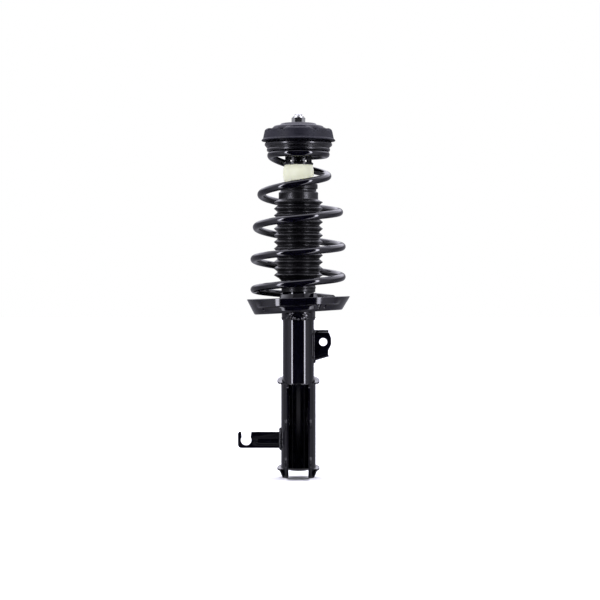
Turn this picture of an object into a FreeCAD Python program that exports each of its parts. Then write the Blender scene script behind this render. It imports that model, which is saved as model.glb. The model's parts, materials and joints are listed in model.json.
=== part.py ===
"""Front suspension strut assembly: damper, coil spring, bearing mount and tower hardware.

Millimetres. +Z is up along the damper's axis, which is x = y = 0. z = 0 is the lowest edge of the
knuckle bracket's ears. -Y is the open side of the knuckle bracket, +X the stabiliser link's side.
The damper is stored fully extended, resting on its rebound stop.
"""

import FreeCAD
import Part

import math
import os

Vector = FreeCAD.Vector
ORIGIN = Vector(0, 0, 0)
UP = Vector(0, 0, 1)

# Reserve tube and what closes it
TUBE_R = 27.5
TUBE_WALL = 2.6
TUBE_BASE_Z = 12.0
TUBE_Z0 = 18.0
TUBE_Z1 = 370.0
INNER_TUBE_R = 17.5
INNER_TUBE_BORE_R = 16.0
INNER_TUBE_Z0 = 36.0
INNER_TUBE_Z1 = 352.0
CAP_R = 30.4
CAP_WALL = 1.6
CAP_Z1 = 375.0

# Piston rod and what rides on it
ROD_R = 11.0
THREAD_R = 7.0
ROD_Z0 = 250.0
ROD_SHOULDER_Z = 578.0
ROD_TOP_Z = 639.0
RUN_GAP = 0.05
BODY_GAP = 0.5
PISTON_Z0 = 266.0
PISTON_Z1 = 290.0
GUIDE_Z0 = 340.0

# Coil spring: (turns since the lower end's reference, mean radius, height of the wire's centre)
WIRE_R = 6.35
SPRING_KNOTS = (
    (0.10, 76.0, 315.0),
    (0.25, 77.9, 320.9),
    (0.50, 78.1, 330.3),
    (0.75, 77.4, 341.0),
    (1.00, 76.9, 353.0),
    (1.50, 78.1, 383.5),
    (2.00, 76.9, 406.2),
    (2.50, 74.1, 439.8),
    (3.00, 72.3, 466.8),
    (3.50, 66.0, 497.9),
    (4.00, 51.6, 530.8),
    (4.25, 48.0, 549.5),
    (4.50, 48.6, 566.0),
    (4.75, 48.7, 567.9),
    (5.00, 48.7, 568.0),
    (5.30, 48.7, 568.0),
)

# Lower spring seat, a bowl that leans up towards +X
SEAT_SHEET = 3.0
SEAT_TILT_DEG = 3.2
SEAT_RIM_TILT_DEG = 1.8
SEAT_Z = 290.5
SEAT_BASE_R = 77.0
SEAT_RIM_R = 91.5
SEAT_RIM_Z = 315.8
SEAT_HUB_TOP_Z = 323.5
COLLAR_R = 29.4
COLLAR_Z0 = 278.0

# Dust boot
BOOT_Z0 = 326.0
BOOT_Z1 = 516.0
BOOT_WALL = 1.6
BOOT_PEAK_R = 43.1
BOOT_ROOT_R = 36.2
BOOT_FIRST_PEAK_Z = 484.2
BOOT_PITCH = 11.7
BOOT_PEAKS = 12

# Bump stop
BUMP_R = 26.85
BUMP_Z0 = 494.0
BUMP_Z1 = 549.6
BUMP_BORE_R = 12.0

# Top mount and its bearing
NECK_R = 23.5
NECK_WALL = 3.0
WINDOWS = 10
SEAT_RING_R = 55.8
SEAT_RING_Z0 = 573.6
SEAT_RING_Z1 = 579.0
BALL_R = 3.0
BALL_PITCH_R = 42.0
BALL_Z = 583.0
BALLS = 30
COVER_R = 59.4
MOUNT_LIP_R = 65.0
MOUNT_TOP_R = 59.5
MOUNT_FACE_Z = 609.6
MOUNT_TOP_Z = 612.6
NOTCH_DEG = (33.3, 60.0, 86.7)
NOTCH_WIDTH = 4.4
NUT_FLATS = 21.0
NUT_HEIGHT = 13.0
CUP_R = 45.0
CUP_HOLE_R = 7.5
CUP_SHEET = 2.6
CUP_Z = 620.0

# Knuckle bracket
SHEET = 3.4
WRAP_R = TUBE_R + SHEET
EAR_X = 17.2
EAR_Y = -68.0
NECK_Y = -21.0
FOOT_Y = -14.0
BRACKET_TOP_Z = 165.0
BRACKET_BACK_Z = 182.6
FOOT_Z = 11.5
FOOT_BACK_Z = 21.4
EAR_FRONT_Z = 4.0
EAR_ROUND = 9.0
LIP_R = 37.4
BOLT_R = 7.1
BOLT_Y = -50.0
BOLT_Z = (30.0, 95.0)
BOSS_R = 9.4
BOSS_HEIGHT = 3.2

# Stabiliser link bracket
LINK_X = 43.6
LINK_Z = 238.1
LINK_HOLE_R = 7.0
LINK_SHEET = 4.0
LINK_FLANGE = 16.0
LINK_FLANGE_SHEET = 3.4
LINK_TOP_Z = 255.4
LINK_TOP_RISE = 4.2

# Brake hose bracket
HOSE_SHEET = 3.0
HOSE_X = -92.0
HOSE_Z = 65.6
HOSE_R = 9.2
HOSE_END_X = -106.5
HOSE_Z0 = 51.6
HOSE_Z1 = 80.4


def edges_through(start, steps, plane):
    """Edges of a closed outline: a step is a point, or a pair (point on the arc, end of the arc)."""
    edges = []
    here = start
    for step in (*steps, start):
        if isinstance(step[0], tuple):
            middle, end = step
            edges.append(Part.Arc(plane(*here), plane(*middle), plane(*end)).toShape())
        else:
            end = step
            if end == here:
                continue
            edges.append(Part.makeLine(plane(*here), plane(*end)))
        here = end
    return edges


def outline(start, *steps, plane):
    return Part.Face(Part.Wire(edges_through(start, steps, plane)))


def turned(start, *steps):
    """A solid of revolution about the strut's axis, from its (radius, height) outline."""
    face = outline(start, *steps, plane=lambda r, z: Vector(r, 0, z))
    return face.revolve(ORIGIN, UP, 360)


def plate_facing_y(y0, thickness, start, *steps):
    """A flat plate from its (x, z) outline, from y0 towards +Y."""
    face = outline(start, *steps, plane=lambda x, z: Vector(x, y0, z))
    return face.extrude(Vector(0, thickness, 0))


def cylinder(radius, z0, z1, x=0.0, y=0.0):
    return Part.makeCylinder(radius, z1 - z0, Vector(x, y, z0), UP)


def ring(outer, inner, z0, z1):
    return cylinder(outer, z0, z1).cut(cylinder(inner, z0 - 1, z1 + 1))


def around(shape, count, offset_deg=0.0):
    """Copies of a shape, evenly spaced about the strut's axis."""
    copies = []
    for i in range(count):
        copy = shape.copy()
        copy.rotate(ORIGIN, UP, offset_deg + 360.0 * i / count)
        copies.append(copy)
    return copies


def hexagon(flats, z0, z1, chamfer=1.2):
    """A hexagonal prism whose top and bottom corners are turned away, as on a nut."""
    corner = flats / math.sqrt(3.0)
    points = [
        Vector(corner * math.cos(math.radians(60 * i)), corner * math.sin(math.radians(60 * i)), z0)
        for i in range(6)
    ]
    prism = Part.Face(Part.makePolygon([*points, points[0]])).extrude(Vector(0, 0, z1 - z0))
    turned_corners = turned(
        (0, z0),
        (flats / 2, z0),
        (corner + 0.1, z0 + chamfer),
        (corner + 0.1, z1 - chamfer),
        (flats / 2, z1),
        (0, z1),
    )
    return prism.common(turned_corners)


def bead(points, radius):
    """A weld bead: overlapping round blobs joined along a line of points."""
    blobs = Part.makeSphere(radius, points[0])
    for a, b in zip(points, points[1:]):
        run = Part.makeCylinder(radius, (b - a).Length, a, b - a)
        blobs = blobs.fuse(run).fuse(Part.makeSphere(radius, b))
    return blobs.removeSplitter()


# ---------------------------------------------------------------- damper

def reserve_tube():
    """The outer tube, its top rolled in over the oil seal."""
    inner = TUBE_R - TUBE_WALL
    return turned(
        (TUBE_R, TUBE_Z0),
        (TUBE_R, TUBE_Z1 - 3),
        ((TUBE_R - 0.9, TUBE_Z1 - 0.9), (TUBE_R - 3, TUBE_Z1)),
        (19.0, TUBE_Z1),
        (19.0, TUBE_Z1 - 2.2),
        (inner, TUBE_Z1 - 2.2),
        (inner, TUBE_Z0),
    )


def tube_base():
    """The dished cap welded into the tube's lower end."""
    return turned(
        (0, TUBE_BASE_Z),
        (12.0, TUBE_BASE_Z),
        ((22.5, TUBE_BASE_Z + 1.8), (TUBE_R, TUBE_Z0)),
        (TUBE_R - TUBE_WALL, TUBE_Z0),
        (TUBE_R - TUBE_WALL, TUBE_Z0 + 4.0),
        (TUBE_R - 2 * TUBE_WALL, TUBE_Z0 + 4.0),
        ((19.0, TUBE_Z0), (12.0, TUBE_BASE_Z + 3.0)),
        (0, TUBE_BASE_Z + 3.0),
    )


def pressure_tube():
    """The inner tube that the piston runs in."""
    return ring(INNER_TUBE_R, INNER_TUBE_BORE_R, INNER_TUBE_Z0, INNER_TUBE_Z1)


def base_valve():
    """The foot valve: its skirt stands in the dished cap and its body plugs the inner tube."""
    body = turned(
        (0, 28.0),
        (13.0, 28.0),
        (15.0, 22.6),
        (18.6, 22.6),
        (18.6, INNER_TUBE_Z0),
        (INNER_TUBE_BORE_R, INNER_TUBE_Z0),
        (INNER_TUBE_BORE_R, 44.0),
        (0, 44.0),
    )
    port = cylinder(1.6, 20.0, 50.0, x=10.0)
    side_port = Part.makeCylinder(2.0, 12.0, Vector(11.0, 0, 25.0), Vector(1, 0, 0))
    for hole in (*around(port, 8), *around(side_port, 4)):
        body = body.cut(hole)
    stud = cylinder(3.0, 24.0, 50.0)
    disc = cylinder(12.5, 44.0, 45.2)
    nut = hexagon(10.0, 45.2, 49.0, chamfer=0.6)
    return body.fuse(stud).fuse(disc).fuse(nut).removeSplitter()


def rod_guide():
    """The sintered guide that centres the rod and closes the inner tube."""
    outer = TUBE_R - TUBE_WALL
    body = turned(
        (12.6, GUIDE_Z0),
        (INNER_TUBE_BORE_R, GUIDE_Z0),
        (INNER_TUBE_BORE_R, INNER_TUBE_Z1),
        (INNER_TUBE_R + 1.5, INNER_TUBE_Z1),
        (INNER_TUBE_R + 1.5, 350.0),
        (outer, 350.0),
        (outer, 361.0),
        (12.6, 361.0),
    )
    drain = cylinder(1.5, 345.0, 365.0, x=21.8)
    for hole in around(drain, 4, 45):
        body = body.cut(hole)
    return body


def guide_bush():
    """The plain bearing pressed into the guide."""
    return ring(12.6, ROD_R + RUN_GAP, 341.0, 360.0)


def oil_seal():
    """The rod seal: a steel washer faced with rubber, with a lip each way."""
    lip = ROD_R + RUN_GAP
    return turned(
        (lip, 361.6),
        (13.5, 361.0),
        (TUBE_R - TUBE_WALL, 361.0),
        (TUBE_R - TUBE_WALL, TUBE_Z1 - 2.2),
        (19.0, TUBE_Z1 - 2.2),
        (16.0, TUBE_Z1 - 1.2),
        (15.0, TUBE_Z1 + 1.2),
        (lip, TUBE_Z1 + 1.2),
        (lip, TUBE_Z1 - 1.0),
        (13.0, TUBE_Z1 - 2.4),
        (13.0, 363.6),
        (lip, 362.8),
    )


def striker_cap():
    """The steel cap over the tube's top, which the bump stop lands on."""
    return turned(
        (TUBE_R, 352.0),
        (CAP_R, 350.0),
        (CAP_R, CAP_Z1 - 2.0),
        ((CAP_R - 0.6, CAP_Z1 - 0.6), (CAP_R - 2.0, CAP_Z1)),
        (15.5, CAP_Z1),
        (15.5, CAP_Z1 - CAP_WALL),
        (CAP_R - CAP_WALL, CAP_Z1 - CAP_WALL),
        (CAP_R - CAP_WALL, 354.0),
        (TUBE_R, 354.0),
    )


def piston_rod():
    """The rod: a polished shaft, its threaded top stub and the turned-down seat for the piston."""
    return turned(
        (0, ROD_Z0),
        (4.4, ROD_Z0),
        (5.0, ROD_Z0 + 0.6),
        (5.0, PISTON_Z1 + 2.0),
        (ROD_R, PISTON_Z1 + 2.0),
        (ROD_R, ROD_SHOULDER_Z - 1.0),
        (ROD_R - 1.0, ROD_SHOULDER_Z),
        (THREAD_R, ROD_SHOULDER_Z),
        (THREAD_R, ROD_TOP_Z - 1.4),
        (THREAD_R - 1.4, ROD_TOP_Z),
        (0, ROD_TOP_Z),
    )


def piston():
    """The piston, with its ring of flow ports and a groove for its band."""
    land = INNER_TUBE_BORE_R - 0.35
    body = turned(
        (5.0, PISTON_Z0),
        (land, PISTON_Z0),
        (land, PISTON_Z0 + 5.0),
        (land - 1.2, PISTON_Z0 + 5.0),
        (land - 1.2, PISTON_Z1 - 5.0),
        (land, PISTON_Z1 - 5.0),
        (land, PISTON_Z1),
        (5.0, PISTON_Z1),
    )
    port = cylinder(1.5, PISTON_Z0 - 1, PISTON_Z1 + 1, x=10.0)
    for hole in around(port, 8):
        body = body.cut(hole)
    return body


def piston_band():
    """The low-friction band that runs on the inner tube's bore."""
    land = INNER_TUBE_BORE_R - 0.35
    return ring(INNER_TUBE_BORE_R - RUN_GAP, land - 1.2, PISTON_Z0 + 5.0, PISTON_Z1 - 5.0)


def valve_discs():
    """Spring-steel shims above and below the piston."""
    below = ring(12.5, 5.0, PISTON_Z0 - 1.5, PISTON_Z0)
    above = ring(12.5, 5.0, PISTON_Z1, PISTON_Z1 + 2.0)
    return Part.makeCompound([below, above])


def piston_nut():
    """The nut that holds the piston and its shims on the rod."""
    z1 = PISTON_Z0 - 1.5
    return hexagon(16.0, z1 - 9.0, z1, chamfer=0.8).cut(cylinder(5.0, z1 - 12.0, z1 + 2.0))


def rebound_stop():
    """The swaged ring on the rod that lands under the guide at full extension."""
    z1 = GUIDE_Z0 - BODY_GAP
    return turned(
        (ROD_R, z1 - 12.0),
        (13.6, z1 - 12.0),
        (14.6, z1 - 8.0),
        (14.6, z1 - 1.0),
        (13.6, z1),
        (ROD_R, z1),
    )


# ---------------------------------------------------------------- brackets and seat

def leaning(shape, degrees, z):
    """The shape tilted up towards +X about the Y line through the axis at this height."""
    shape = shape.copy()
    shape.rotate(Vector(0, 0, z), Vector(0, 1, 0), -degrees)
    return shape


def lower_spring_seat():
    """The pressed bowl that the spring stands in, with a raised hub round the tube."""
    t = SEAT_SHEET
    lean = (SEAT_RIM_R - SEAT_BASE_R) / (SEAT_RIM_Z - SEAT_Z)
    rim_z = SEAT_RIM_Z + 8.0
    rim_r = SEAT_RIM_R + 8.0 * lean
    bowl = turned(
        (36.0, SEAT_Z),
        (SEAT_BASE_R - 4.0, SEAT_Z),
        ((SEAT_BASE_R - 1.0, SEAT_Z + 1.0), (SEAT_BASE_R + 0.8, SEAT_Z + 4.0)),
        (rim_r, rim_z),
        (rim_r - t, rim_z),
        (SEAT_BASE_R - 2.6, SEAT_Z + 5.2),
        ((SEAT_BASE_R - 4.0, SEAT_Z + t + 0.8), (SEAT_BASE_R - 6.5, SEAT_Z + t)),
        (52.0, SEAT_Z + t),
        ((46.0, SEAT_Z + t + 1.2), (41.0, SEAT_Z + 9.0)),
        (34.0, SEAT_HUB_TOP_Z - 9.0),
        ((31.8, SEAT_HUB_TOP_Z - 3.0), (31.0, SEAT_HUB_TOP_Z)),
        (25.0, SEAT_HUB_TOP_Z),
        (25.0, SEAT_HUB_TOP_Z - 4.0),
        (28.4, SEAT_HUB_TOP_Z - 5.0),
        (30.6, SEAT_HUB_TOP_Z - 11.0),
    )
    bowl = leaning(bowl, SEAT_TILT_DEG, SEAT_Z)
    above_rim = leaning(cylinder(150.0, SEAT_RIM_Z, SEAT_RIM_Z + 40.0), SEAT_RIM_TILT_DEG, SEAT_RIM_Z)
    above_rim = above_rim.cut(cylinder(50.0, 250.0, 400.0))
    bowl = bowl.cut(above_rim)
    bowl = bowl.cut(cylinder(TUBE_R, 200.0, 400.0))
    drain = leaning(cylinder(4.0, SEAT_Z - 5.0, SEAT_Z + 8.0, x=-52.0, y=-30.0), SEAT_TILT_DEG, SEAT_Z)
    for angle in (0, 120, 240):
        hole = drain.copy()
        hole.rotate(ORIGIN, UP, angle)
        bowl = bowl.cut(hole)
    return bowl


def seat_collar():
    """The ring under the bowl that carries the spring's load into the tube."""
    blank = ring(COLLAR_R, TUBE_R, COLLAR_Z0 + 2.0, SEAT_Z + 12.0)
    bowl_space = leaning(cylinder(60.0, SEAT_Z, SEAT_Z + 30.0), SEAT_TILT_DEG, SEAT_Z)
    return blank.cut(bowl_space)


def seat_weld():
    """The fillet weld all round, under the collar."""
    return turned(
        (TUBE_R, COLLAR_Z0 - 1.5),
        ((TUBE_R + 1.9, COLLAR_Z0 - 0.4), (COLLAR_R, COLLAR_Z0 + 2.0)),
        (TUBE_R, COLLAR_Z0 + 2.0),
    )


def spring_pad():
    """The rubber pad in the bowl under the spring's lowest coil."""
    z0 = SEAT_Z + SEAT_SHEET
    blank = ring(84.0, 69.0, z0 - 8.0, 345.0)
    floor = leaning(cylinder(120.0, z0 - 60.0, z0), SEAT_TILT_DEG, SEAT_Z)
    wall_lean = (SEAT_RIM_R - SEAT_BASE_R) / (SEAT_RIM_Z - SEAT_Z)
    inside = turned(
        (0, z0),
        (SEAT_BASE_R - 7.5, z0),
        (SEAT_BASE_R - 2.6, SEAT_Z + 6.0),
        (SEAT_BASE_R - 2.6 + 40.0 * wall_lean, SEAT_Z + 46.0),
        (0, SEAT_Z + 46.0),
    )
    blank = blank.cut(floor).common(leaning(inside, SEAT_TILT_DEG, SEAT_Z))
    first_turn = 0.10
    turns = 0.18
    steps = 6
    clearance = 1.2
    pad = None
    for i in range(steps):
        turn = first_turn + turns * i / steps
        height = spring_height(turn) - WIRE_R - clearance
        wedge = sector(95.0, 360.0 * turn, 360.0 * turns / steps, z0 - 10.0, height)
        piece = blank.common(wedge)
        pad = piece if pad is None else pad.fuse(piece)
    return pad.removeSplitter()


def sector(radius, start_deg, sweep_deg, z0, z1):
    """A pie slice about the strut's axis."""
    block = Part.makeCylinder(radius, z1 - z0, Vector(0, 0, z0), UP, sweep_deg)
    block.rotate(ORIGIN, UP, start_deg)
    return block


def spring_height(turn):
    """The wire centre's height at a turn, read from the straight lines between the knots."""
    for (t0, _, z0), (t1, _, z1) in zip(SPRING_KNOTS, SPRING_KNOTS[1:]):
        if t0 <= turn <= t1:
            return z0 + (z1 - z0) * (turn - t0) / (t1 - t0)
    return SPRING_KNOTS[-1][2]


def under_slope(y_low, z_low, y_high, z_high):
    """All that lies under the sloping plane through two (y, z) points."""
    slope = (z_high - z_low) / (y_high - y_low)
    y0 = -110.0
    y1 = 80.0
    corners = (
        Vector(-90, y0, -200),
        Vector(-90, y1, -200),
        Vector(-90, y1, z_low + slope * (y1 - y_low)),
        Vector(-90, y0, z_low + slope * (y0 - y_low)),
    )
    face = Part.Face(Part.makePolygon([*corners, corners[0]]))
    return face.extrude(Vector(180, 0, 0))


def slab_behind(y):
    """Everything further back than y."""
    return Part.makeBox(240, 200, 500, Vector(-120, y, -150))


def open_ring(outer_r):
    """A tall ring about the tube with its front cut away between the bracket's ears."""
    low = -5.0
    high = 190.0
    wrap = ring(outer_r, TUBE_R, low, high)
    opening = Part.makeBox(2 * EAR_X, 60.0, high - low + 2, Vector(-EAR_X, -70.0, low - 1))
    return wrap.cut(opening)


def ear(side):
    """One of the two flat cheeks that the knuckle goes between, with its front corners rounded."""
    back_y = -math.sqrt(TUBE_R**2 - (EAR_X + SHEET) ** 2)
    x0 = EAR_X if side > 0 else -EAR_X - SHEET
    face = outline(
        (back_y, 0.0),
        (EAR_Y + EAR_ROUND, EAR_FRONT_Z),
        ((EAR_Y + 0.29 * EAR_ROUND, EAR_FRONT_Z + 0.29 * EAR_ROUND), (EAR_Y, EAR_FRONT_Z + EAR_ROUND)),
        (EAR_Y, BRACKET_TOP_Z - EAR_ROUND),
        (
            (EAR_Y + 0.29 * EAR_ROUND, BRACKET_TOP_Z - 0.29 * EAR_ROUND),
            (EAR_Y + EAR_ROUND, BRACKET_TOP_Z),
        ),
        (back_y, BRACKET_TOP_Z),
        plane=lambda y, z: Vector(x0, y, z),
    )
    plate = face.extrude(Vector(SHEET, 0, 0))
    boss_at = side * EAR_X
    for z in BOLT_Z:
        boss = Part.makeCylinder(BOSS_R, SHEET + BOSS_HEIGHT, Vector(boss_at, BOLT_Y, z), Vector(side, 0, 0))
        plate = plate.fuse(boss)
    return plate.cut(cylinder(TUBE_R, -10, 200))


def knuckle_bracket():
    """The pressed clevis that wraps the tube and takes the steering knuckle between its ears."""
    under_top = under_slope(NECK_Y, BRACKET_TOP_Z, LIP_R, BRACKET_BACK_Z)
    under_top_lip = under_slope(NECK_Y, BRACKET_TOP_Z - SHEET, LIP_R, BRACKET_BACK_Z - SHEET)
    under_foot = under_slope(NECK_Y, FOOT_Z, LIP_R, FOOT_BACK_Z)
    under_foot_lip = under_slope(NECK_Y, FOOT_Z + SHEET, LIP_R, FOOT_BACK_Z + SHEET)
    wrap = open_ring(WRAP_R).common(under_top)
    wrap = wrap.cut(under_foot.common(slab_behind(FOOT_Y)))
    wrap = wrap.cut(Part.makeBox(200, 200, 100, Vector(-100, -150, -100)))
    lips = open_ring(LIP_R).common(slab_behind(NECK_Y))
    top_lip = lips.common(under_top).cut(under_top_lip)
    foot_lip = lips.common(under_foot_lip).cut(under_foot).common(slab_behind(FOOT_Y))
    bracket = wrap.fuse([top_lip, foot_lip, ear(-1), ear(1)])
    for z in BOLT_Z:
        bolt = Part.makeCylinder(BOLT_R, 120, Vector(-60, BOLT_Y, z), Vector(1, 0, 0))
        bracket = bracket.cut(bolt)
    return bracket.removeSplitter()


def knuckle_welds():
    """Fillet beads where the bracket's necks meet the tube, inside the clevis."""
    beads = []
    x = EAR_X - 1.6
    y = -math.sqrt(TUBE_R**2 - x**2) - 0.6
    keep_out = cylinder(TUBE_R, 0, 300)
    for side in (-1, 1):
        points = [Vector(side * x, y, 80.0), Vector(side * x, y, 143.0)]
        ear = Part.makeBox(30, 120, 300, Vector(EAR_X if side > 0 else -EAR_X - 30, -120, 0))
        beads.append(bead(points, 2.2).cut(keep_out).cut(ear))
    return Part.makeCompound(beads)


def link_bracket():
    """The arm for the stabiliser link: a plate with its top and bottom edges turned back."""
    y0 = -LINK_SHEET / 2
    root_x = 20.0
    end_x = 53.6
    plate = plate_facing_y(
        y0,
        LINK_SHEET,
        (root_x, 206.0),
        (52.4, 215.2),
        (52.4, 223.0),
        (57.6, 233.0),
        (57.6, 246.0),
        (end_x, 253.2),
        (end_x, LINK_TOP_Z),
        (root_x, LINK_TOP_Z),
    )
    back_y = y0 + LINK_FLANGE
    top = outline(
        (y0, LINK_TOP_Z - LINK_FLANGE_SHEET),
        (y0, LINK_TOP_Z),
        (back_y, LINK_TOP_Z + LINK_TOP_RISE),
        (back_y, LINK_TOP_Z + LINK_TOP_RISE - LINK_FLANGE_SHEET),
        plane=lambda y, z: Vector(root_x, y, z),
    ).extrude(Vector(end_x - root_x, 0, 0))
    bottom = plate_facing_y(
        y0, LINK_FLANGE, (root_x, 202.6), (52.2, 211.8), (52.4, 215.2), (root_x, 206.0)
    )
    arm = plate.fuse(top).fuse(bottom)
    arm = arm.cut(cylinder(TUBE_R, 150.0, 300.0))
    hole = Part.makeCylinder(LINK_HOLE_R, 60, Vector(LINK_X, -30, LINK_Z), Vector(0, 1, 0))
    return arm.cut(hole).removeSplitter()


def link_weld():
    """Beads along the link arm's upper and lower ends on the tube."""
    keep_out = cylinder(TUBE_R, 100, 300).fuse(link_bracket())
    beads = []
    for z, rise in ((LINK_TOP_Z + 2.2, LINK_TOP_RISE), (202.4, 0.0)):
        points = [Vector(28.2, -2.0, z), Vector(28.0, 5.0, z + 0.44 * rise), Vector(25.6, 13.0, z + 0.94 * rise)]
        beads.append(bead(points, 2.4).cut(keep_out))
    return Part.makeCompound(beads)


def hose_bracket():
    """The flat hook for the brake hose and sensor lead, with an open-topped slot."""
    y0 = -HOSE_SHEET / 2
    r = 7.0
    end_x = HOSE_END_X
    plate = plate_facing_y(
        y0,
        HOSE_SHEET,
        (-24.0, HOSE_Z0),
        (-24.0, HOSE_Z1),
        (-82.9, HOSE_Z1),
        (-84.2, 71.0),
        (-99.8, 71.0),
        (-100.6, HOSE_Z1),
        (end_x + 2.0, HOSE_Z1),
        (end_x, HOSE_Z1 - 3.0),
        (end_x, HOSE_Z0 + r),
        ((end_x + 0.29 * r, HOSE_Z0 + 0.29 * r), (end_x + r, HOSE_Z0)),
    )
    slot = Part.makeCylinder(HOSE_R, 40, Vector(HOSE_X, -20, HOSE_Z), Vector(0, 1, 0))
    plate = plate.cut(slot)
    rib = Part.makeCylinder(4.0, 36.0, Vector(-70.0, 0, 63.4), Vector(1, 0, 0))
    rib = rib.fuse(Part.makeSphere(4.0, Vector(-70.0, 0, 63.4)))
    rib = rib.cut(Part.makeBox(90, 30, 30, Vector(-90, 0, 50)))
    plate = plate.fuse(rib)
    return plate.cut(cylinder(WRAP_R, 0, 200)).removeSplitter()


def hose_weld():
    """The bead that joins the hook to the knuckle bracket."""
    keep_out = cylinder(WRAP_R, 0, 200).fuse(hose_bracket())
    side = [Vector(-31.6, -1.5, 49.0), Vector(-31.6, -1.5, 80.0)]
    back = [Vector(-31.6, 1.5, 49.0), Vector(-31.6, 1.5, 80.0)]
    blob = bead(side, 2.6).fuse(bead(back, 2.6))
    return blob.cut(keep_out).removeSplitter()


# ---------------------------------------------------------------- spring, boot and bump stop

def coil_spring():
    """The barrel-topped coil spring: a round wire along a coil of changing radius and pitch."""
    points = []
    steps_per_turn = 16
    first = SPRING_KNOTS[0][0]
    last = SPRING_KNOTS[-1][0]
    count = round((last - first) * steps_per_turn)
    radius_of = smooth_curve([(t, r) for t, r, _ in SPRING_KNOTS])
    height_of = smooth_curve([(t, z) for t, _, z in SPRING_KNOTS])
    for i in range(count + 1):
        turn = first + (last - first) * i / count
        angle = 2 * math.pi * turn
        r = radius_of(turn)
        points.append(Vector(r * math.cos(angle), r * math.sin(angle), height_of(turn)))
    curve = Part.BSplineCurve()
    curve.interpolate(points)
    path = Part.Wire([curve.toShape()])
    tangent = curve.tangent(curve.FirstParameter)[0]
    section = Part.Wire([Part.makeCircle(WIRE_R, points[0], tangent)])
    solid = path.makePipeShell([section], True, True)
    expected = math.pi * WIRE_R**2 * path.Length
    print("spring volume against wire area times length:", round(solid.Volume / expected, 4))
    return solid


def smooth_curve(knots):
    """A function through the knots whose slope at each is that of its two neighbours' chord."""
    slopes = []
    for i in range(len(knots)):
        t0, v0 = knots[max(i - 1, 0)]
        t1, v1 = knots[min(i + 1, len(knots) - 1)]
        slopes.append((v1 - v0) / (t1 - t0))

    def value(t):
        i = 0
        while i < len(knots) - 2 and t > knots[i + 1][0]:
            i += 1
        t0, v0 = knots[i]
        t1, v1 = knots[i + 1]
        span = t1 - t0
        u = (t - t0) / span
        return (
            (2 * u**3 - 3 * u**2 + 1) * v0
            + (u**3 - 2 * u**2 + u) * span * slopes[i]
            + (-2 * u**3 + 3 * u**2) * v1
            + (u**3 - u**2) * span * slopes[i + 1]
        )

    return value


def dust_boot():
    """The moulded bellows from the tube's top up to the ring that grips the bump stop."""
    outer = [
        (29.6, BOOT_Z0),
        (29.6, 345.0),
        (BOOT_ROOT_R - 2.0, 350.0),
    ]
    lowest = BOOT_FIRST_PEAK_Z - BOOT_PITCH * (BOOT_PEAKS - 1)
    for i in range(BOOT_PEAKS):
        z = lowest + i * BOOT_PITCH
        outer.append((BOOT_PEAK_R, z))
        if i < BOOT_PEAKS - 1:
            outer.append((BOOT_ROOT_R, z + BOOT_PITCH / 2))
    outer += [
        (34.5, 488.6),
        (34.5, 501.0),
        (31.2, 503.0),
        (31.2, 507.0),
        (33.6, 509.0),
        (33.6, BOOT_Z1 - 1.0),
        (32.6, BOOT_Z1),
    ]
    inner = [
        (27.6, BOOT_Z0),
        (27.6, 346.4),
        (BOOT_ROOT_R - 2.0 - BOOT_WALL - 1.0, 351.0),
    ]
    for i in range(BOOT_PEAKS):
        z = lowest + i * BOOT_PITCH
        inner.append((BOOT_PEAK_R - 2.4, z))
        if i < BOOT_PEAKS - 1:
            inner.append((BOOT_ROOT_R - BOOT_WALL, z + BOOT_PITCH / 2))
    inner += [
        (32.8, 489.2),
        (32.8, 500.0),
        (29.5, 502.4),
        (29.5, 507.4),
        (27.6, 509.0),
        (27.6, BOOT_Z1),
    ]
    loop = outer + inner[::-1]
    return turned(loop[0], *loop[1:])


def bump_stop():
    """The foam stop: a barrel above and a stepped, waisted tail hidden in the boot."""
    return turned(
        (BUMP_BORE_R, BUMP_Z0 + 1.5),
        (BUMP_BORE_R + 1.5, BUMP_Z0),
        (17.0, BUMP_Z0),
        ((20.5, BUMP_Z0 + 1.5), (21.5, BUMP_Z0 + 5.0)),
        ((21.0, BUMP_Z0 + 8.0), (19.5, BUMP_Z0 + 10.0)),
        ((22.5, BUMP_Z0 + 12.0), (24.0, BUMP_Z0 + 16.0)),
        (25.2, 520.0),
        ((BUMP_R + 0.1, 536.0), (25.6, BUMP_Z1 - 1.0)),
        (24.8, BUMP_Z1),
        (BUMP_BORE_R, BUMP_Z1),
    )


# ---------------------------------------------------------------- top mount

def upper_spring_seat():
    """The bearing's lower housing: a ring over the spring's top coil with a windowed neck."""
    inner = NECK_R - NECK_WALL
    body = turned(
        (NECK_R + 0.4, BUMP_Z1),
        (26.0, BUMP_Z1),
        (26.4, 553.0),
        (NECK_R, 556.0),
        (NECK_R, 571.0),
        ((24.2, 574.6), (27.5, 576.6)),
        (SEAT_RING_R - 3.4, 576.6),
        (SEAT_RING_R - 2.2, SEAT_RING_Z0),
        (SEAT_RING_R - 0.6, SEAT_RING_Z0),
        ((SEAT_RING_R, 576.2), (SEAT_RING_R - 0.8, SEAT_RING_Z1)),
        (47.4, SEAT_RING_Z1),
        (47.4, SEAT_RING_Z1 - 1.2),
        (36.6, SEAT_RING_Z1 - 1.2),
        (36.6, SEAT_RING_Z1),
        (inner, SEAT_RING_Z1),
        (inner, 553.5),
        (NECK_R + 0.4, 552.0),
    )
    window = plate_facing_y(-40.0, 40.0, (-3.4, 558.0), (3.4, 558.0), (0.0, 568.4))
    for hole in around(window, WINDOWS):
        body = body.cut(hole)
    return body.removeSplitter()


def top_spring_pad():
    """The thin rubber ring between the spring's top coil and its seat."""
    return turned((42.6, 574.8), (52.0, 574.8), (52.0, 576.6), (42.6, 576.6))


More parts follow.
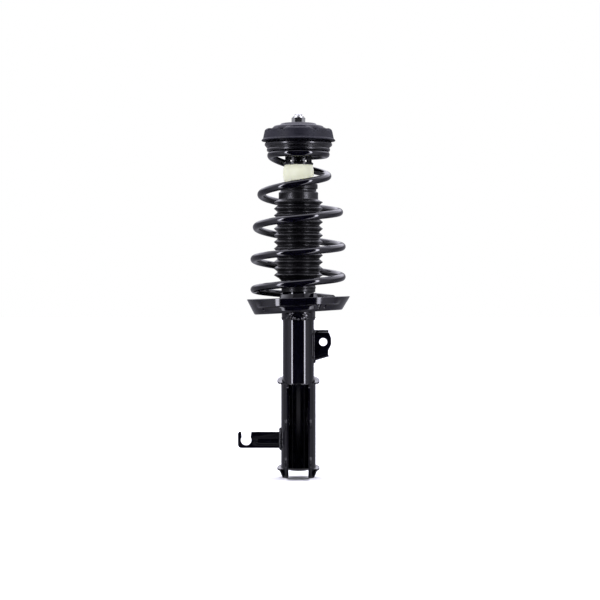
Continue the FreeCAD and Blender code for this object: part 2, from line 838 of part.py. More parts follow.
def race(z0, z1):
    """A bearing race with its ball groove."""
    blank = ring(46.8, 37.2, z0, z1)
    groove = Part.makeTorus(BALL_PITCH_R, BALL_R + RUN_GAP, Vector(0, 0, BALL_Z), UP)
    return blank.cut(groove)


def lower_race():
    return race(SEAT_RING_Z1 - 1.2, BALL_Z - 1.2)


def upper_race():
    return race(BALL_Z + 1.2, BALL_Z + 4.6)


def bearing_balls():
    ball = Part.makeSphere(BALL_R, Vector(BALL_PITCH_R, 0, BALL_Z))
    return Part.makeCompound(around(ball, BALLS))


def ball_cage():
    """The flat cage that spaces the balls."""
    cage = ring(45.4, 38.6, BALL_Z - 0.7, BALL_Z + 0.7)
    pocket = cylinder(BALL_R + 0.1, BALL_Z - 3, BALL_Z + 3, x=BALL_PITCH_R)
    for hole in around(pocket, BALLS):
        cage = cage.cut(hole)
    return cage


def bearing_cover():
    """The bearing's upper housing, the glossy ring that shields the balls."""
    return turned(
        (47.8, 582.4),
        (57.6, 581.4),
        ((58.8, 582.6), (COVER_R, 585.0)),
        ((59.0, 587.4), (58.0, 589.4)),
        (57.4, 592.0),
        (24.0, 592.0),
        (24.0, 588.0),
        (36.4, 588.0),
        (36.4, BALL_Z + 4.6),
        (47.8, BALL_Z + 4.6),
    )


def mount_core():
    """The steel sleeve on the rod's shoulder, whose flange carries the rubber."""
    return turned(
        (THREAD_R, ROD_SHOULDER_Z),
        (15.0, ROD_SHOULDER_Z),
        (15.0, 588.0),
        (21.0, 590.0),
        (30.0, 599.0),
        (30.0, 602.0),
        (20.0, 602.0),
        (17.0, 604.0),
        (THREAD_R, 604.0),
    )


def mount_plate():
    """The stiffening ring moulded into the rubber's foot."""
    return ring(58.0, 40.0, 594.2, 596.6)


def mount_rubber():
    """The moulded rubber body: a drum with a thin lip below and a notched rim round its top."""
    drum = turned(
        (24.0, 592.0),
        (58.6, 592.0),
        (MOUNT_LIP_R - 1.4, 591.4),
        ((MOUNT_LIP_R, 592.0), (MOUNT_LIP_R - 0.6, 593.6)),
        (62.2, 596.2),
        (MOUNT_TOP_R + 0.2, MOUNT_FACE_Z),
        ((MOUNT_TOP_R - 0.4, 611.6), (MOUNT_TOP_R - 2.4, MOUNT_TOP_Z)),
        (48.4, MOUNT_TOP_Z),
        (46.8, MOUNT_FACE_Z),
        (46.8, 606.0),
        (33.0, 606.0),
        (29.0, 609.0),
        (20.0, 609.0),
        (17.0, 604.0),
        (20.0, 602.0),
        (21.0, 592.0),
    )
    drum = drum.cut(mount_core()).cut(mount_plate())
    for third in range(3):
        for angle in NOTCH_DEG:
            notch = Part.makeBox(
                30.0, NOTCH_WIDTH, 10.0, Vector(40.0, -NOTCH_WIDTH / 2, MOUNT_FACE_Z)
            )
            notch.rotate(ORIGIN, UP, 270.0 + angle + 120.0 * third)
            drum = drum.cut(notch)
    return drum.removeSplitter()


def retaining_nut():
    """The nut that clamps the mount to the rod against the spring, with a round collar on top."""
    body = hexagon(22.0, 604.0, 615.0)
    collar = turned((0, 614.0), (9.25, 614.0), (9.25, 618.8), (8.6, CUP_Z - 0.05), (0, CUP_Z - 0.05))
    return body.fuse(collar).cut(cylinder(THREAD_R, 590.0, 640.0)).removeSplitter()


def tower_cup():
    """The dished retainer that sits on the mount when the strut is bolted up."""
    t = CUP_SHEET
    z = CUP_Z
    return turned(
        (CUP_HOLE_R, z),
        (27.4, z),
        ((29.0, z - 0.6), (29.8, z - 2.2)),
        ((30.6, z - 4.2), (33.0, z - 5.0)),
        (38.6, z - 5.0),
        ((42.0, z - 6.0), (43.0, z - 9.0)),
        (CUP_R, z - 9.0),
        ((CUP_R - 1.0, z - 3.6), (39.6, z - 5.0 + t)),
        (34.6, z - 5.0 + t),
        ((32.6, z - 1.6), (31.6, z + 0.8)),
        ((30.6, z + 2.2), (28.4, z + t)),
        (CUP_HOLE_R, z + t),
    )


def top_nut():
    """The zinc-plated nut that holds the strut in its tower."""
    z0 = CUP_Z + CUP_SHEET + 0.1
    z1 = z0 + NUT_HEIGHT
    body = hexagon(NUT_FLATS, z0, z1 - 2.2)
    crown = turned((0, z1 - 3.0), (9.4, z1 - 3.0), (9.4, z1 - 1.0), (8.6, z1), (0, z1))
    return body.fuse(crown).cut(cylinder(THREAD_R + RUN_GAP, z0 - 2, z1 + 2)).removeSplitter()


NODES = {
    "reserve_tube": reserve_tube,
    "tube_base": tube_base,
    "pressure_tube": pressure_tube,
    "base_valve": base_valve,
    "rod_guide": rod_guide,
    "guide_bush": guide_bush,
    "oil_seal": oil_seal,
    "striker_cap": striker_cap,
    "piston_rod": piston_rod,
    "piston": piston,
    "piston_band": piston_band,
    "valve_discs": valve_discs,
    "piston_nut": piston_nut,
    "rebound_stop": rebound_stop,
    "lower_spring_seat": lower_spring_seat,
    "seat_collar": seat_collar,
    "seat_weld": seat_weld,
    "lower_spring_pad": spring_pad,
    "knuckle_bracket": knuckle_bracket,
    "knuckle_welds": knuckle_welds,
    "link_bracket": link_bracket,
    "link_weld": link_weld,
    "hose_bracket": hose_bracket,
    "hose_weld": hose_weld,
    "coil_spring": coil_spring,
    "dust_boot": dust_boot,
    "bump_stop": bump_stop,
    "upper_spring_seat": upper_spring_seat,
    "top_spring_pad": top_spring_pad,
    "lower_race": lower_race,
    "bearing_balls": bearing_balls,
    "ball_cage": ball_cage,
    "upper_race": upper_race,
    "bearing_cover": bearing_cover,
    "mount_core": mount_core,
    "mount_plate": mount_plate,
    "mount_rubber": mount_rubber,
    "retaining_nut": retaining_nut,
    "tower_cup": tower_cup,
    "top_nut": top_nut,
}


def main():
    os.makedirs("parts", exist_ok=True)
    for name, build in NODES.items():
        shape = build()
        whole = shape.isValid() and shape.Volume > 0 and len(shape.Solids) > 0
        print(f"{name:20s} solids {len(shape.Solids):3d} volume {shape.Volume:10.1f} valid {whole}")
        shape.exportStep(f"parts/{name}.step")


main()
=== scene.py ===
import json
import math

import bmesh
import bpy
import numpy as np
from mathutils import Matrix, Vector


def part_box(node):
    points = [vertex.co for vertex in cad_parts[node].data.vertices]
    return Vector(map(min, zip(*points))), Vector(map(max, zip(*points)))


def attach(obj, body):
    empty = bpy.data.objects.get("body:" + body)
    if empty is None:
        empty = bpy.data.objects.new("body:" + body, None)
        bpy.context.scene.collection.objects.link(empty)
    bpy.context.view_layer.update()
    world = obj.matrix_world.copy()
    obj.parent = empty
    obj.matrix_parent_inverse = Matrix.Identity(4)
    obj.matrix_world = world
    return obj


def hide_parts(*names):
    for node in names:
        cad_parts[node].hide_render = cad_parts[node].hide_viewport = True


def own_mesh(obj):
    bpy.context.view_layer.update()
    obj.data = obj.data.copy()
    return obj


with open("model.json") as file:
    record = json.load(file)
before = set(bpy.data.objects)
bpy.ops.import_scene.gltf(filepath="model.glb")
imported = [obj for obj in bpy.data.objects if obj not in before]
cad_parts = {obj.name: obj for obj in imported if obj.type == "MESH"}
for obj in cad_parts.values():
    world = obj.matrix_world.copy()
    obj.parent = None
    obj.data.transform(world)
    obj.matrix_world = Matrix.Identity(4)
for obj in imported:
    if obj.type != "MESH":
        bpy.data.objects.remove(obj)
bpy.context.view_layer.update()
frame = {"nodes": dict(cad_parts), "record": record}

# Lengths here are in millimetres unless a name ends in _m. The mesh builders turn them into metres.
MM = 0.001
FRONT = -90.0  # degrees: the bracket's open side, about +Z from +X
SMOOTH_DEG = 35.0  # edges sharper than this are shaded sharp


def span(node):
    """Lowest and highest corner of a CAD node, in millimetres."""
    low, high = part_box(node)
    return [1000 * c for c in low], [1000 * c for c in high]


def heights(node):
    """The CAD node's lowest and highest z, in millimetres."""
    low, high = span(node)
    return low[2], high[2]


def radius_of(node):
    """Half the CAD node's depth, which for a round one is its radius, in millimetres."""
    low, high = span(node)
    return (high[1] - low[1]) / 2


# ---------------------------------------------------------------- materials

class Tree:
    """A node tree, with a short way to add nodes and to join them."""

    def __init__(self, tree):
        self.tree = tree

    def add(self, kind, inputs, **settings):
        """A new node. Its inputs are given by socket, each a constant or another node's output."""
        node = self.tree.nodes.new(kind)
        for key, value in settings.items():
            setattr(node, key, value)
        for socket, value in inputs.items():
            if isinstance(value, bpy.types.NodeSocket):
                self.tree.links.new(value, node.inputs[socket])
            else:
                node.inputs[socket].default_value = value
        return node

    def between(self, value, low, high, low_in=0.3, high_in=0.7, **settings):
        """The value moved from the range low_in to high_in to the range low to high."""
        inputs = {"Value": value, "From Min": low_in, "From Max": high_in, "To Min": low, "To Max": high}
        return self.add("ShaderNodeMapRange", inputs, **settings).outputs["Result"]


class Nodes(Tree):
    """A material's nodes, with its textures placed by object coordinates."""

    def __init__(self, name):
        self.material = bpy.data.materials.new(name)
        self.material.use_nodes = True
        super().__init__(self.material.node_tree)
        self.shader = self.tree.nodes["Principled BSDF"]
        self.place = self.add("ShaderNodeTexCoord", {}).outputs["Object"]

    def noise(self, scale, detail=3.0, roughness=0.5, stretch=None):
        place = self.place
        if stretch is not None:
            place = self.add("ShaderNodeMapping", {"Vector": place, "Scale": stretch}).outputs["Vector"]
        inputs = {"Vector": place, "Scale": scale, "Detail": detail, "Roughness": roughness}
        return self.add("ShaderNodeTexNoise", inputs).outputs["Fac"]

    def cells(self, scale):
        return self.add("ShaderNodeTexVoronoi", {"Vector": self.place, "Scale": scale}).outputs["Distance"]

    def ramp(self, value, stops):
        """A colour for the value, from (place, colour) stops."""
        node = self.add("ShaderNodeValToRGB", {"Fac": value})
        band = node.color_ramp
        while len(band.elements) < len(stops):
            band.elements.new(0.5)
        for element, (at, colour) in zip(band.elements, stops):
            element.position = at
            element.color = (*colour, 1.0)
        return node.outputs["Color"]

    def plus(self, first, second, share):
        """The first value and a share of the second."""
        inputs = {0: second, 1: share, 2: first}
        return self.add("ShaderNodeMath", inputs, operation="MULTIPLY_ADD").outputs[0]

    def bump(self, height, distance_m, strength=1.0):
        inputs = {"Height": height, "Distance": distance_m, "Strength": strength}
        self.shade("Normal", self.add("ShaderNodeBump", inputs).outputs["Normal"])

    def shade(self, socket, source):
        """Joins a node's output to the shader."""
        self.tree.links.new(source, self.shader.inputs[socket])

    def fix(self, socket, value):
        """Sets a constant on the shader's own socket."""
        self.shader.inputs[socket].default_value = value

    def colour(self, source):
        self.shade("Base Color", source)

    def roughness(self, source):
        self.shade("Roughness", source)


def tinted(value, tint=(1.0, 1.0, 1.0)):
    """A grey of this value, times a tint."""
    return tuple(value * t for t in tint)


def painted_black(name, base=0.0008, rough=(0.06, 0.12), peel_m=0.000012):
    """Black electrocoat: faint cloudiness, orange peel and a few fine specks of dust."""
    n = Nodes(name)
    cloud = n.noise(35.0, detail=4.0)
    speck = n.noise(900.0, detail=2.0, roughness=0.7)
    tint = (0.9, 0.75, 2.4)
    mixed = n.plus(cloud, n.between(speck, 0.0, 0.6, 0.62, 0.8), 1.0)
    stops = [(0.35, tinted(base, tint)), (0.7, tinted(base * 1.7, tint)), (1.0, tinted(base * 9))]
    n.colour(n.ramp(mixed, stops))
    n.roughness(n.between(cloud, *rough))
    n.bump(n.plus(n.noise(260.0, detail=2.0), n.noise(1500.0), 0.12), peel_m)
    return n.material


def black_rubber(name, base=0.012, rough=(0.42, 0.6), grain_m=0.00006, blue=1.4, shine=0.5):
    """Moulded rubber: a dull bloom in patches over a fine grain."""
    n = Nodes(name)
    bloom = n.noise(28.0, detail=5.0, roughness=0.6)
    grain = n.noise(2600.0, detail=2.0, roughness=0.6)
    stops = [(0.3, tinted(base * 0.6, (1, 0.96, blue))), (0.85, tinted(base * 1.5, (1, 0.97, blue)))]
    n.colour(n.ramp(n.plus(bloom, grain, 0.15), stops))
    n.roughness(n.between(bloom, *rough))
    n.bump(n.plus(grain, bloom, 0.5), grain_m)
    n.fix("Specular IOR Level", shine)
    return n.material


def moulded_nylon(name, base=0.0014):
    """Glass-filled nylon straight from the mould: half gloss, with faint flow marks."""
    n = Nodes(name)
    flow = n.noise(60.0, detail=4.0, stretch=(1.0, 1.0, 6.0))
    fibre = n.noise(1700.0, detail=3.0, roughness=0.7)
    n.colour(n.ramp(flow, [(0.3, tinted(base, (1, 0.95, 1.6))), (0.8, tinted(base * 2.2, (1, 0.97, 1.5)))]))
    n.roughness(n.between(flow, 0.18, 0.3))
    n.bump(n.plus(fibre, flow, 0.8), 0.00004)
    return n.material


def cream_foam(name):
    """Cream polyurethane foam: a smooth skin with small pores and a slight unevenness."""
    n = Nodes(name)
    patch = n.noise(45.0, detail=4.0)
    pore = n.cells(1300.0)
    n.colour(n.ramp(patch, [(0.3, (0.64, 0.655, 0.455)), (0.7, (0.70, 0.715, 0.53))]))
    n.roughness(n.between(patch, 0.48, 0.62))
    n.bump(n.plus(patch, pore, 0.35), 0.00025, 0.6)
    n.fix("Subsurface Weight", 0.12)
    n.fix("Subsurface Radius", (0.004, 0.004, 0.002))
    n.fix("Subsurface Scale", 1.0)
    return n.material


def metal(name, colour, rough, streak=(1.0, 1.0, 1.0), streak_scale=400.0, bump_m=0.00001):
    """Bare or plated metal, with tool marks stretched along one direction."""
    n = Nodes(name)
    marks = n.noise(streak_scale, detail=4.0, roughness=0.6, stretch=streak)
    stain = n.noise(40.0, detail=4.0)
    dark = tuple(c * 0.88 for c in colour)
    n.colour(n.ramp(n.plus(marks, stain, 0.6), [(0.45, dark), (1.1, colour)]))
    n.roughness(n.between(marks, *rough))
    n.bump(marks, bump_m)
    n.fix("Metallic", 1.0)
    return n.material


def plain_polymer(name, light, dark):
    """An undecorated plastic, clouded between two colours."""
    n = Nodes(name)
    cloud = n.noise(300.0, detail=4.0)
    n.colour(n.ramp(cloud, [(0.3, dark), (0.7, light)]))
    n.roughness(n.between(cloud, 0.35, 0.5))
    n.bump(n.noise(1800.0), 0.00003)
    return n.material


GLOSS_BLACK = painted_black("gloss_black_paint")
SPRING_BLACK = painted_black("spring_powder_coat", rough=(0.07, 0.13), peel_m=0.000014)
WELD_BLACK = painted_black("painted_weld", rough=(0.08, 0.2), peel_m=0.0004)
SATIN_BLACK = painted_black("satin_electrocoat", base=0.003, rough=(0.3, 0.42), peel_m=0.00004)
MOUNT_RUBBER = black_rubber(
    "mount_rubber", base=0.003, rough=(0.5, 0.62), grain_m=0.00009, blue=3.0, shine=0.28
)
BOOT_RUBBER = black_rubber("boot_rubber", base=0.0016, rough=(0.3, 0.4), grain_m=0.000015)
SEAL_RUBBER = black_rubber("seal_rubber", base=0.014, rough=(0.45, 0.6))
NYLON_BLACK = moulded_nylon("black_nylon")
FOAM = cream_foam("cream_foam")
ROD_STEEL = metal("rod_steel", (0.62, 0.62, 0.63), (0.1, 0.2), streak=(1.0, 1.0, 8.0))
ZINC = metal("zinc_plate", (0.78, 0.79, 0.76), (0.14, 0.26), streak_scale=700.0)
DRAWN_STEEL = metal("drawn_steel", (0.5, 0.5, 0.51), (0.25, 0.4), streak=(1.0, 1.0, 0.1))
GROUND_STEEL = metal("ground_steel", (0.66, 0.66, 0.68), (0.06, 0.14))
SINTERED = metal("sintered_steel", (0.3, 0.3, 0.31), (0.45, 0.65), streak_scale=1500.0, bump_m=0.00004)
BRONZE = metal("bush_bronze", (0.62, 0.4, 0.2), (0.25, 0.4))
PTFE = plain_polymer("piston_band", (0.3, 0.27, 0.24), (0.22, 0.2, 0.18))
CAGE_NYLON = plain_polymer("cage_nylon", (0.74, 0.72, 0.62), (0.66, 0.64, 0.54))
INSERT_NYLON = plain_polymer("insert_nylon", (0.4, 0.4, 0.24), (0.32, 0.33, 0.19))

MATERIAL_OF_SLOT = {
    "gloss_black": GLOSS_BLACK,
    "spring_black": SPRING_BLACK,
    "satin_black": SATIN_BLACK,
    "mount_rubber": MOUNT_RUBBER,
    "boot_rubber": BOOT_RUBBER,
    "seal_rubber": SEAL_RUBBER,
    "moulded_black": NYLON_BLACK,
    "stop_foam": FOAM,
    "rod_chrome": ROD_STEEL,
    "zinc_plate": ZINC,
    "drawn_steel": DRAWN_STEEL,
    "bearing_steel": GROUND_STEEL,
    "sintered_steel": SINTERED,
    "bronze": BRONZE,
    "ptfe": PTFE,
    "cage_nylon": CAGE_NYLON,
}
SLOT_OF_NODE = {s["node"]: s["material_slot"] for s in frame["record"]["subparts"]}
BODY_OF_NODE = {n: b for b, ns in frame["record"]["behaviour"]["bodies"].items() for n in ns}


def finish_cad_nodes():
    """Every CAD node carries its slot's material, whether it shows or is hidden inside."""
    for node, obj in frame["nodes"].items():
        obj.data.materials.clear()
        obj.data.materials.append(MATERIAL_OF_SLOT[SLOT_OF_NODE[node]])
        obj.data.set_sharp_from_angle(angle=math.radians(SMOOTH_DEG))


# ---------------------------------------------------------------- mesh builders

def placed(name, mesh):
    """A new object in the scene that holds the mesh."""
    obj = bpy.data.objects.new(name, mesh)
    bpy.context.scene.collection.objects.link(obj)
    return obj


def unit(vectors):
    """The vectors, each made one long."""
    return vectors / np.linalg.norm(vectors, axis=-1, keepdims=True)


def mesh_object(name, points_mm, faces, material, smooth_deg=SMOOTH_DEG):
    """A smooth-shaded closed mesh from points in millimetres, with doubled points merged."""
    mesh = bpy.data.meshes.new(name)
    mesh.from_pydata([tuple(MM * c for c in p) for p in points_mm], [], faces)
    work = bmesh.new()
    work.from_mesh(mesh)
    bmesh.ops.remove_doubles(work, verts=work.verts, dist=0.002 * MM)
    bmesh.ops.recalc_face_normals(work, faces=work.faces)
    for face in work.faces:
        face.smooth = True
    work.to_mesh(mesh)
    work.free()
    mesh.set_sharp_from_angle(angle=math.radians(smooth_deg))
    mesh.materials.append(material)
    return placed(name, mesh)


def rounded(corners, segments=6):
    """A closed outline from (a, b, radius) corners, each rounded by its radius."""
    out = []
    count = len(corners)
    for i, (a, b, radius) in enumerate(corners):
        here = np.array((a, b), float)
        before = np.array(corners[i - 1][:2], float) - here
        after = np.array(corners[(i + 1) % count][:2], float) - here
        len_before = np.linalg.norm(before)
        len_after = np.linalg.norm(after)
        if radius <= 0 or len_before < 1e-6 or len_after < 1e-6:
            out.append(tuple(here))
            continue
        before /= len_before
        after /= len_after
        half = math.acos(max(-1.0, min(1.0, float(before @ after)))) / 2
        if half > math.radians(89.0) or half < math.radians(1.0):
            out.append(tuple(here))
            continue
        reach = min(radius / math.tan(half), 0.48 * len_before, 0.48 * len_after)
        true_radius = reach * math.tan(half)
        bisector = before + after
        bisector /= np.linalg.norm(bisector)
        centre = here + bisector * (true_radius / math.sin(half))
        start = here + before * reach - centre
        end = here + after * reach - centre
        turn = math.atan2(start[0] * end[1] - start[1] * end[0], float(start @ end))
        for k in range(segments + 1):
            t = turn * k / segments
            spun = (
                start[0] * math.cos(t) - start[1] * math.sin(t),
                start[0] * math.sin(t) + start[1] * math.cos(t),
            )
            out.append((centre[0] + spun[0], centre[1] + spun[1]))
    return out


def refined(outline, longest):
    """The outline with points added so that no side is longer than this."""
    out = []
    for i, (a, b) in enumerate(outline):
        c, d = outline[(i + 1) % len(outline)]
        parts = max(1, math.ceil(math.hypot(c - a, d - b) / longest))
        for k in range(parts):
            t = k / parts
            out.append((a + (c - a) * t, b + (d - b) * t))
    return out


def revolve(name, outline, material, steps, shape=None, smooth_deg=SMOOTH_DEG):
    """A solid of revolution about the strut's axis from a closed (radius, height) outline.
    shape(angle, radius, height) may move the points, and gives new (radius, height)."""
    profile = np.array(outline, float)
    angle = np.linspace(0.0, 2 * math.pi, steps, endpoint=False)
    grid_angle, grid_r = np.meshgrid(angle, profile[:, 0], indexing="ij")
    grid_z = np.broadcast_to(profile[:, 1], grid_r.shape).copy()
    if shape is not None:
        grid_r, grid_z = shape(grid_angle, grid_r.copy(), grid_z)
    points = np.stack([grid_r * np.cos(grid_angle), grid_r * np.sin(grid_angle), grid_z], axis=-1)
    count = len(profile)
    faces = []
    for i in range(steps):
        j = (i + 1) % steps
        for k in range(count):
            m = (k + 1) % count
            if profile[k, 0] < 1e-6 and profile[m, 0] < 1e-6:
                continue
            faces.append((i * count + k, j * count + k, j * count + m, i * count + m))
    return mesh_object(name, points.reshape(-1, 3), faces, material, smooth_deg)


def away(angle, centre_deg):
    """Signed angle in degrees from a direction given in degrees."""
    return (np.degrees(angle) - centre_deg + 180.0) % 360.0 - 180.0


def level_direction(degrees):
    """The level direction this far round from +X."""
    return Vector((math.cos(math.radians(degrees)), math.sin(math.radians(degrees)), 0))


def soft_step(value, low, high):
    """0 below the range, 1 above it, and a smooth rise between."""
    t = np.clip((value - low) / (high - low), 0.0, 1.0)
    return t * t * (3 - 2 * t)


def prism_faces(count):
    """The faces of a closed prism between two outlines of this many points."""
    faces = [tuple(range(count)), tuple(range(2 * count - 1, count - 1, -1))]
    return faces + [(i, (i + 1) % count, count + (i + 1) % count, count + i) for i in range(count)]


def swept(name, centres, sideways, upward, radii, count, material, smooth_deg):
    """A round bar through the centres, with a radius at each, closed flat at both ends."""
    around = 2 * math.pi * np.arange(count) / count
    rings = []
    for centre, side, up, radius in zip(centres, sideways, upward, radii):
        rings.append(centre + radius * (np.outer(np.cos(around), side) + np.outer(np.sin(around), up)))
    faces = []
    for i in range(len(rings) - 1):
        for k in range(count):
            m = (k + 1) % count
            faces.append((i * count + k, i * count + m, (i + 1) * count + m, (i + 1) * count + k))
    faces.append(tuple(range(count - 1, -1, -1)))
    faces.append(tuple(range((len(rings) - 1) * count, len(rings) * count)))
    return mesh_object(name, np.vstack(rings), faces, material, smooth_deg)


def extruded(name, outline, axis, low, high, material):
    """A plate from a closed outline in the two directions across the axis."""
    points = []
    for depth in (low, high):
        for a, b in outline:
            points.append({"Y": (a, depth, b), "Z": (a, b, depth)}[axis])
    return mesh_object(name, points, prism_faces(len(outline)), material)


def radial_prism(name, outline, centre, outward, near, far, material):
    """An upright outline, square to a level direction and drawn out along it."""
    side = Vector((-outward.y, outward.x, 0))
    points = []
    for depth in (near, far):
        for a, b in outline:
            points.append(tuple(Vector(centre) + side * a + Vector((0, 0, b)) + outward * depth))
    return mesh_object(name, points, prism_faces(len(outline)), material)


def soften(obj, width_mm, segments, angle_deg):
    """Rounds the edges sharper than this angle, as pressing and paint do."""
    bevel = obj.modifiers.new("edges", "BEVEL")
    bevel.width = width_mm * MM
    bevel.segments = segments
    bevel.limit_method = "ANGLE"
    bevel.angle_limit = math.radians(angle_deg)
    bevel.harden_normals = False
    bake(obj)


def bake(obj):
    """Applies the modifiers to the mesh."""
    graph = bpy.context.evaluated_depsgraph_get()
    mesh = bpy.data.meshes.new_from_object(obj.evaluated_get(graph), depsgraph=graph)
    obj.modifiers.clear()
    obj.data = mesh
    for polygon in mesh.polygons:
        polygon.use_smooth = True
    mesh.set_sharp_from_angle(angle=math.radians(SMOOTH_DEG))


def carve(obj, *tools, operation="DIFFERENCE"):
    """Cuts the tools out of the object, or joins or crosses it with them, and deletes the tools."""
    tool = joined("tools", list(tools)) if len(tools) > 1 else tools[0]
    cut = obj.modifiers.new("cut", "BOOLEAN")
    cut.operation = operation
    cut.solver = "EXACT"
    cut.object = tool
    bake(obj)
    bpy.data.objects.remove(tool)


def rod_tool(start, direction, length, radius, sides):
    """A cylinder to cut with, from a point along a direction."""
    turn = Vector((0, 0, 1)).rotation_difference(Vector(direction)).to_matrix()
    points = []
    for h in (0.0, length):
        for i in range(sides):
            a = 2 * math.pi * i / sides
            spun = turn @ Vector((radius * math.cos(a), radius * math.sin(a), h))
            points.append(tuple(spun + Vector(start)))
    return mesh_object("tool", points, prism_faces(sides), GLOSS_BLACK)


def sheet_from_grid(name, grid, thickness, material):
    """A pressed sheet of even thickness about a grid of points, closed round its border."""
    along = np.gradient(grid, axis=0)
    across = np.gradient(grid, axis=1)
    normal = unit(np.cross(along, across))
    rows, columns = grid.shape[:2]
    outer = (grid + normal * thickness / 2).reshape(-1, 3)
    inner = (grid - normal * thickness / 2).reshape(-1, 3)
    size = rows * columns

    def at(i, j):
        return i * columns + j

    faces = []
    for i in range(rows - 1):
        for j in range(columns - 1):
            a, b, c, d = at(i, j), at(i + 1, j), at(i + 1, j + 1), at(i, j + 1)
            faces.append((a, b, c, d))
            faces.append((size + d, size + c, size + b, size + a))
    border = [at(i, 0) for i in range(rows)]
    border += [at(rows - 1, j) for j in range(1, columns)]
    border += [at(i, columns - 1) for i in range(rows - 2, -1, -1)]
    border += [at(0, j) for j in range(columns - 2, 0, -1)]
    for a, b in zip(border, border[1:] + border[:1]):
        faces.append((b, a, size + a, size + b))
    return mesh_object(name, np.vstack([outer, inner]), faces, material)


def joined(name, objects):
    """One object from several."""
    work = bmesh.new()
    for obj in objects:
        work.from_mesh(obj.data)
    mesh = bpy.data.meshes.new(name)
    work.to_mesh(mesh)
    work.free()
    for material in objects[0].data.materials:
        mesh.materials.append(material)
    mesh.set_sharp_from_angle(angle=math.radians(SMOOTH_DEG))
    for obj in objects:
        bpy.data.objects.remove(obj)
    return placed(name, mesh)


def stands_for(obj, *nodes):
    """The piece takes the nodes' place and body: it joins their body and the nodes are hidden."""
    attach(obj, BODY_OF_NODE[nodes[0]])
    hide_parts(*nodes)
    return obj


# ---------------------------------------------------------------- damper

def damper_tube():
    """The outer tube, turned in over the rod guide at its top."""
    bottom, top = heights("reserve_tube")
    r = radius_of("reserve_tube")
    inside = r - 2.6
    mouth = 19.0
    outline = rounded([
        (r, bottom, 0.3), (r, top, 2.5), (mouth, top, 0.6), (mouth, top - 2.2, 0.6),
        (inside, top - 2.2, 0.6), (inside, bottom, 0.3),
    ])
    stands_for(revolve("damper_tube", outline, GLOSS_BLACK, steps=192), "reserve_tube")


def damper_foot():
    """The dished end, pressed in and seam welded."""
    bottom, top = heights("tube_base")
    r = radius_of("tube_base")
    ledge = bottom + 6.0
    outline = rounded([
        (0.0, bottom, 0), (13.0, bottom, 9.0), (23.0, bottom + 2.6, 5.0), (r - 0.3, bottom + 5.6, 0.8),
        (r - 0.3, ledge, 0.2), (r - 2.6, ledge, 0.2), (r - 2.6, top, 0.5), (r - 5.2, top, 0.5),
        (19.0, ledge, 3.0), (12.0, bottom + 3.0, 3.0), (0.0, bottom + 3.0, 0),
    ])
    stands_for(revolve("damper_foot", outline, GLOSS_BLACK, steps=160), "tube_base")


def threaded(angle, radius, height, z0, z1, pitch, depth):
    """The radius cut by a V thread between two heights, fading out at each end."""
    wave = np.abs(((height / pitch - angle / (2 * math.pi)) % 1.0) * 2 - 1)
    cut = depth * (1 - soft_step(wave, 0.15, 0.95))
    share = soft_step(height, z0, z0 + 1.2) * (1 - soft_step(height, z1 - 0.6, z1))
    return radius - cut * share


def piston_rod():
    """The turned rod, with the thread of its stub and a centre hole in its end."""
    bottom, top = heights("piston_rod")
    shoulder = heights("mount_core")[0]
    piston_seat = heights("valve_discs")[1]
    r = radius_of("piston_rod")
    stub = 7.0
    thread_z = shoulder + 22.5
    step = 0.2
    outline = rounded([
        (0.0, bottom, 0), (5.0, bottom, 0.5), (5.0, piston_seat, 0.2), (r, piston_seat, 0.6),
        (r, shoulder, 1.0), (stub, shoulder, 0.4), (stub, shoulder + 22.0, 0),
    ])
    outline += [(stub, thread_z + step * i) for i in range(int((top - shoulder - 23.0) / step))]
    outline += [(stub - 0.2, top - 1.2), (stub - 1.4, top)]
    outline += [(2.6, top), (2.2, top - 3.0), (0.0, top - 3.0)]

    def thread(angle, radius, height):
        on_stub = (radius > stub - 0.15) & (radius < stub + 0.05)
        cut = threaded(angle, radius, height, thread_z, top - 0.8, pitch=1.5, depth=0.85)
        return np.where(on_stub, cut, radius), height

    rod = revolve("piston_rod_turned", outline, ROD_STEEL, steps=96, shape=thread, smooth_deg=30)
    stands_for(rod, "piston_rod")


# ---------------------------------------------------------------- lower seat

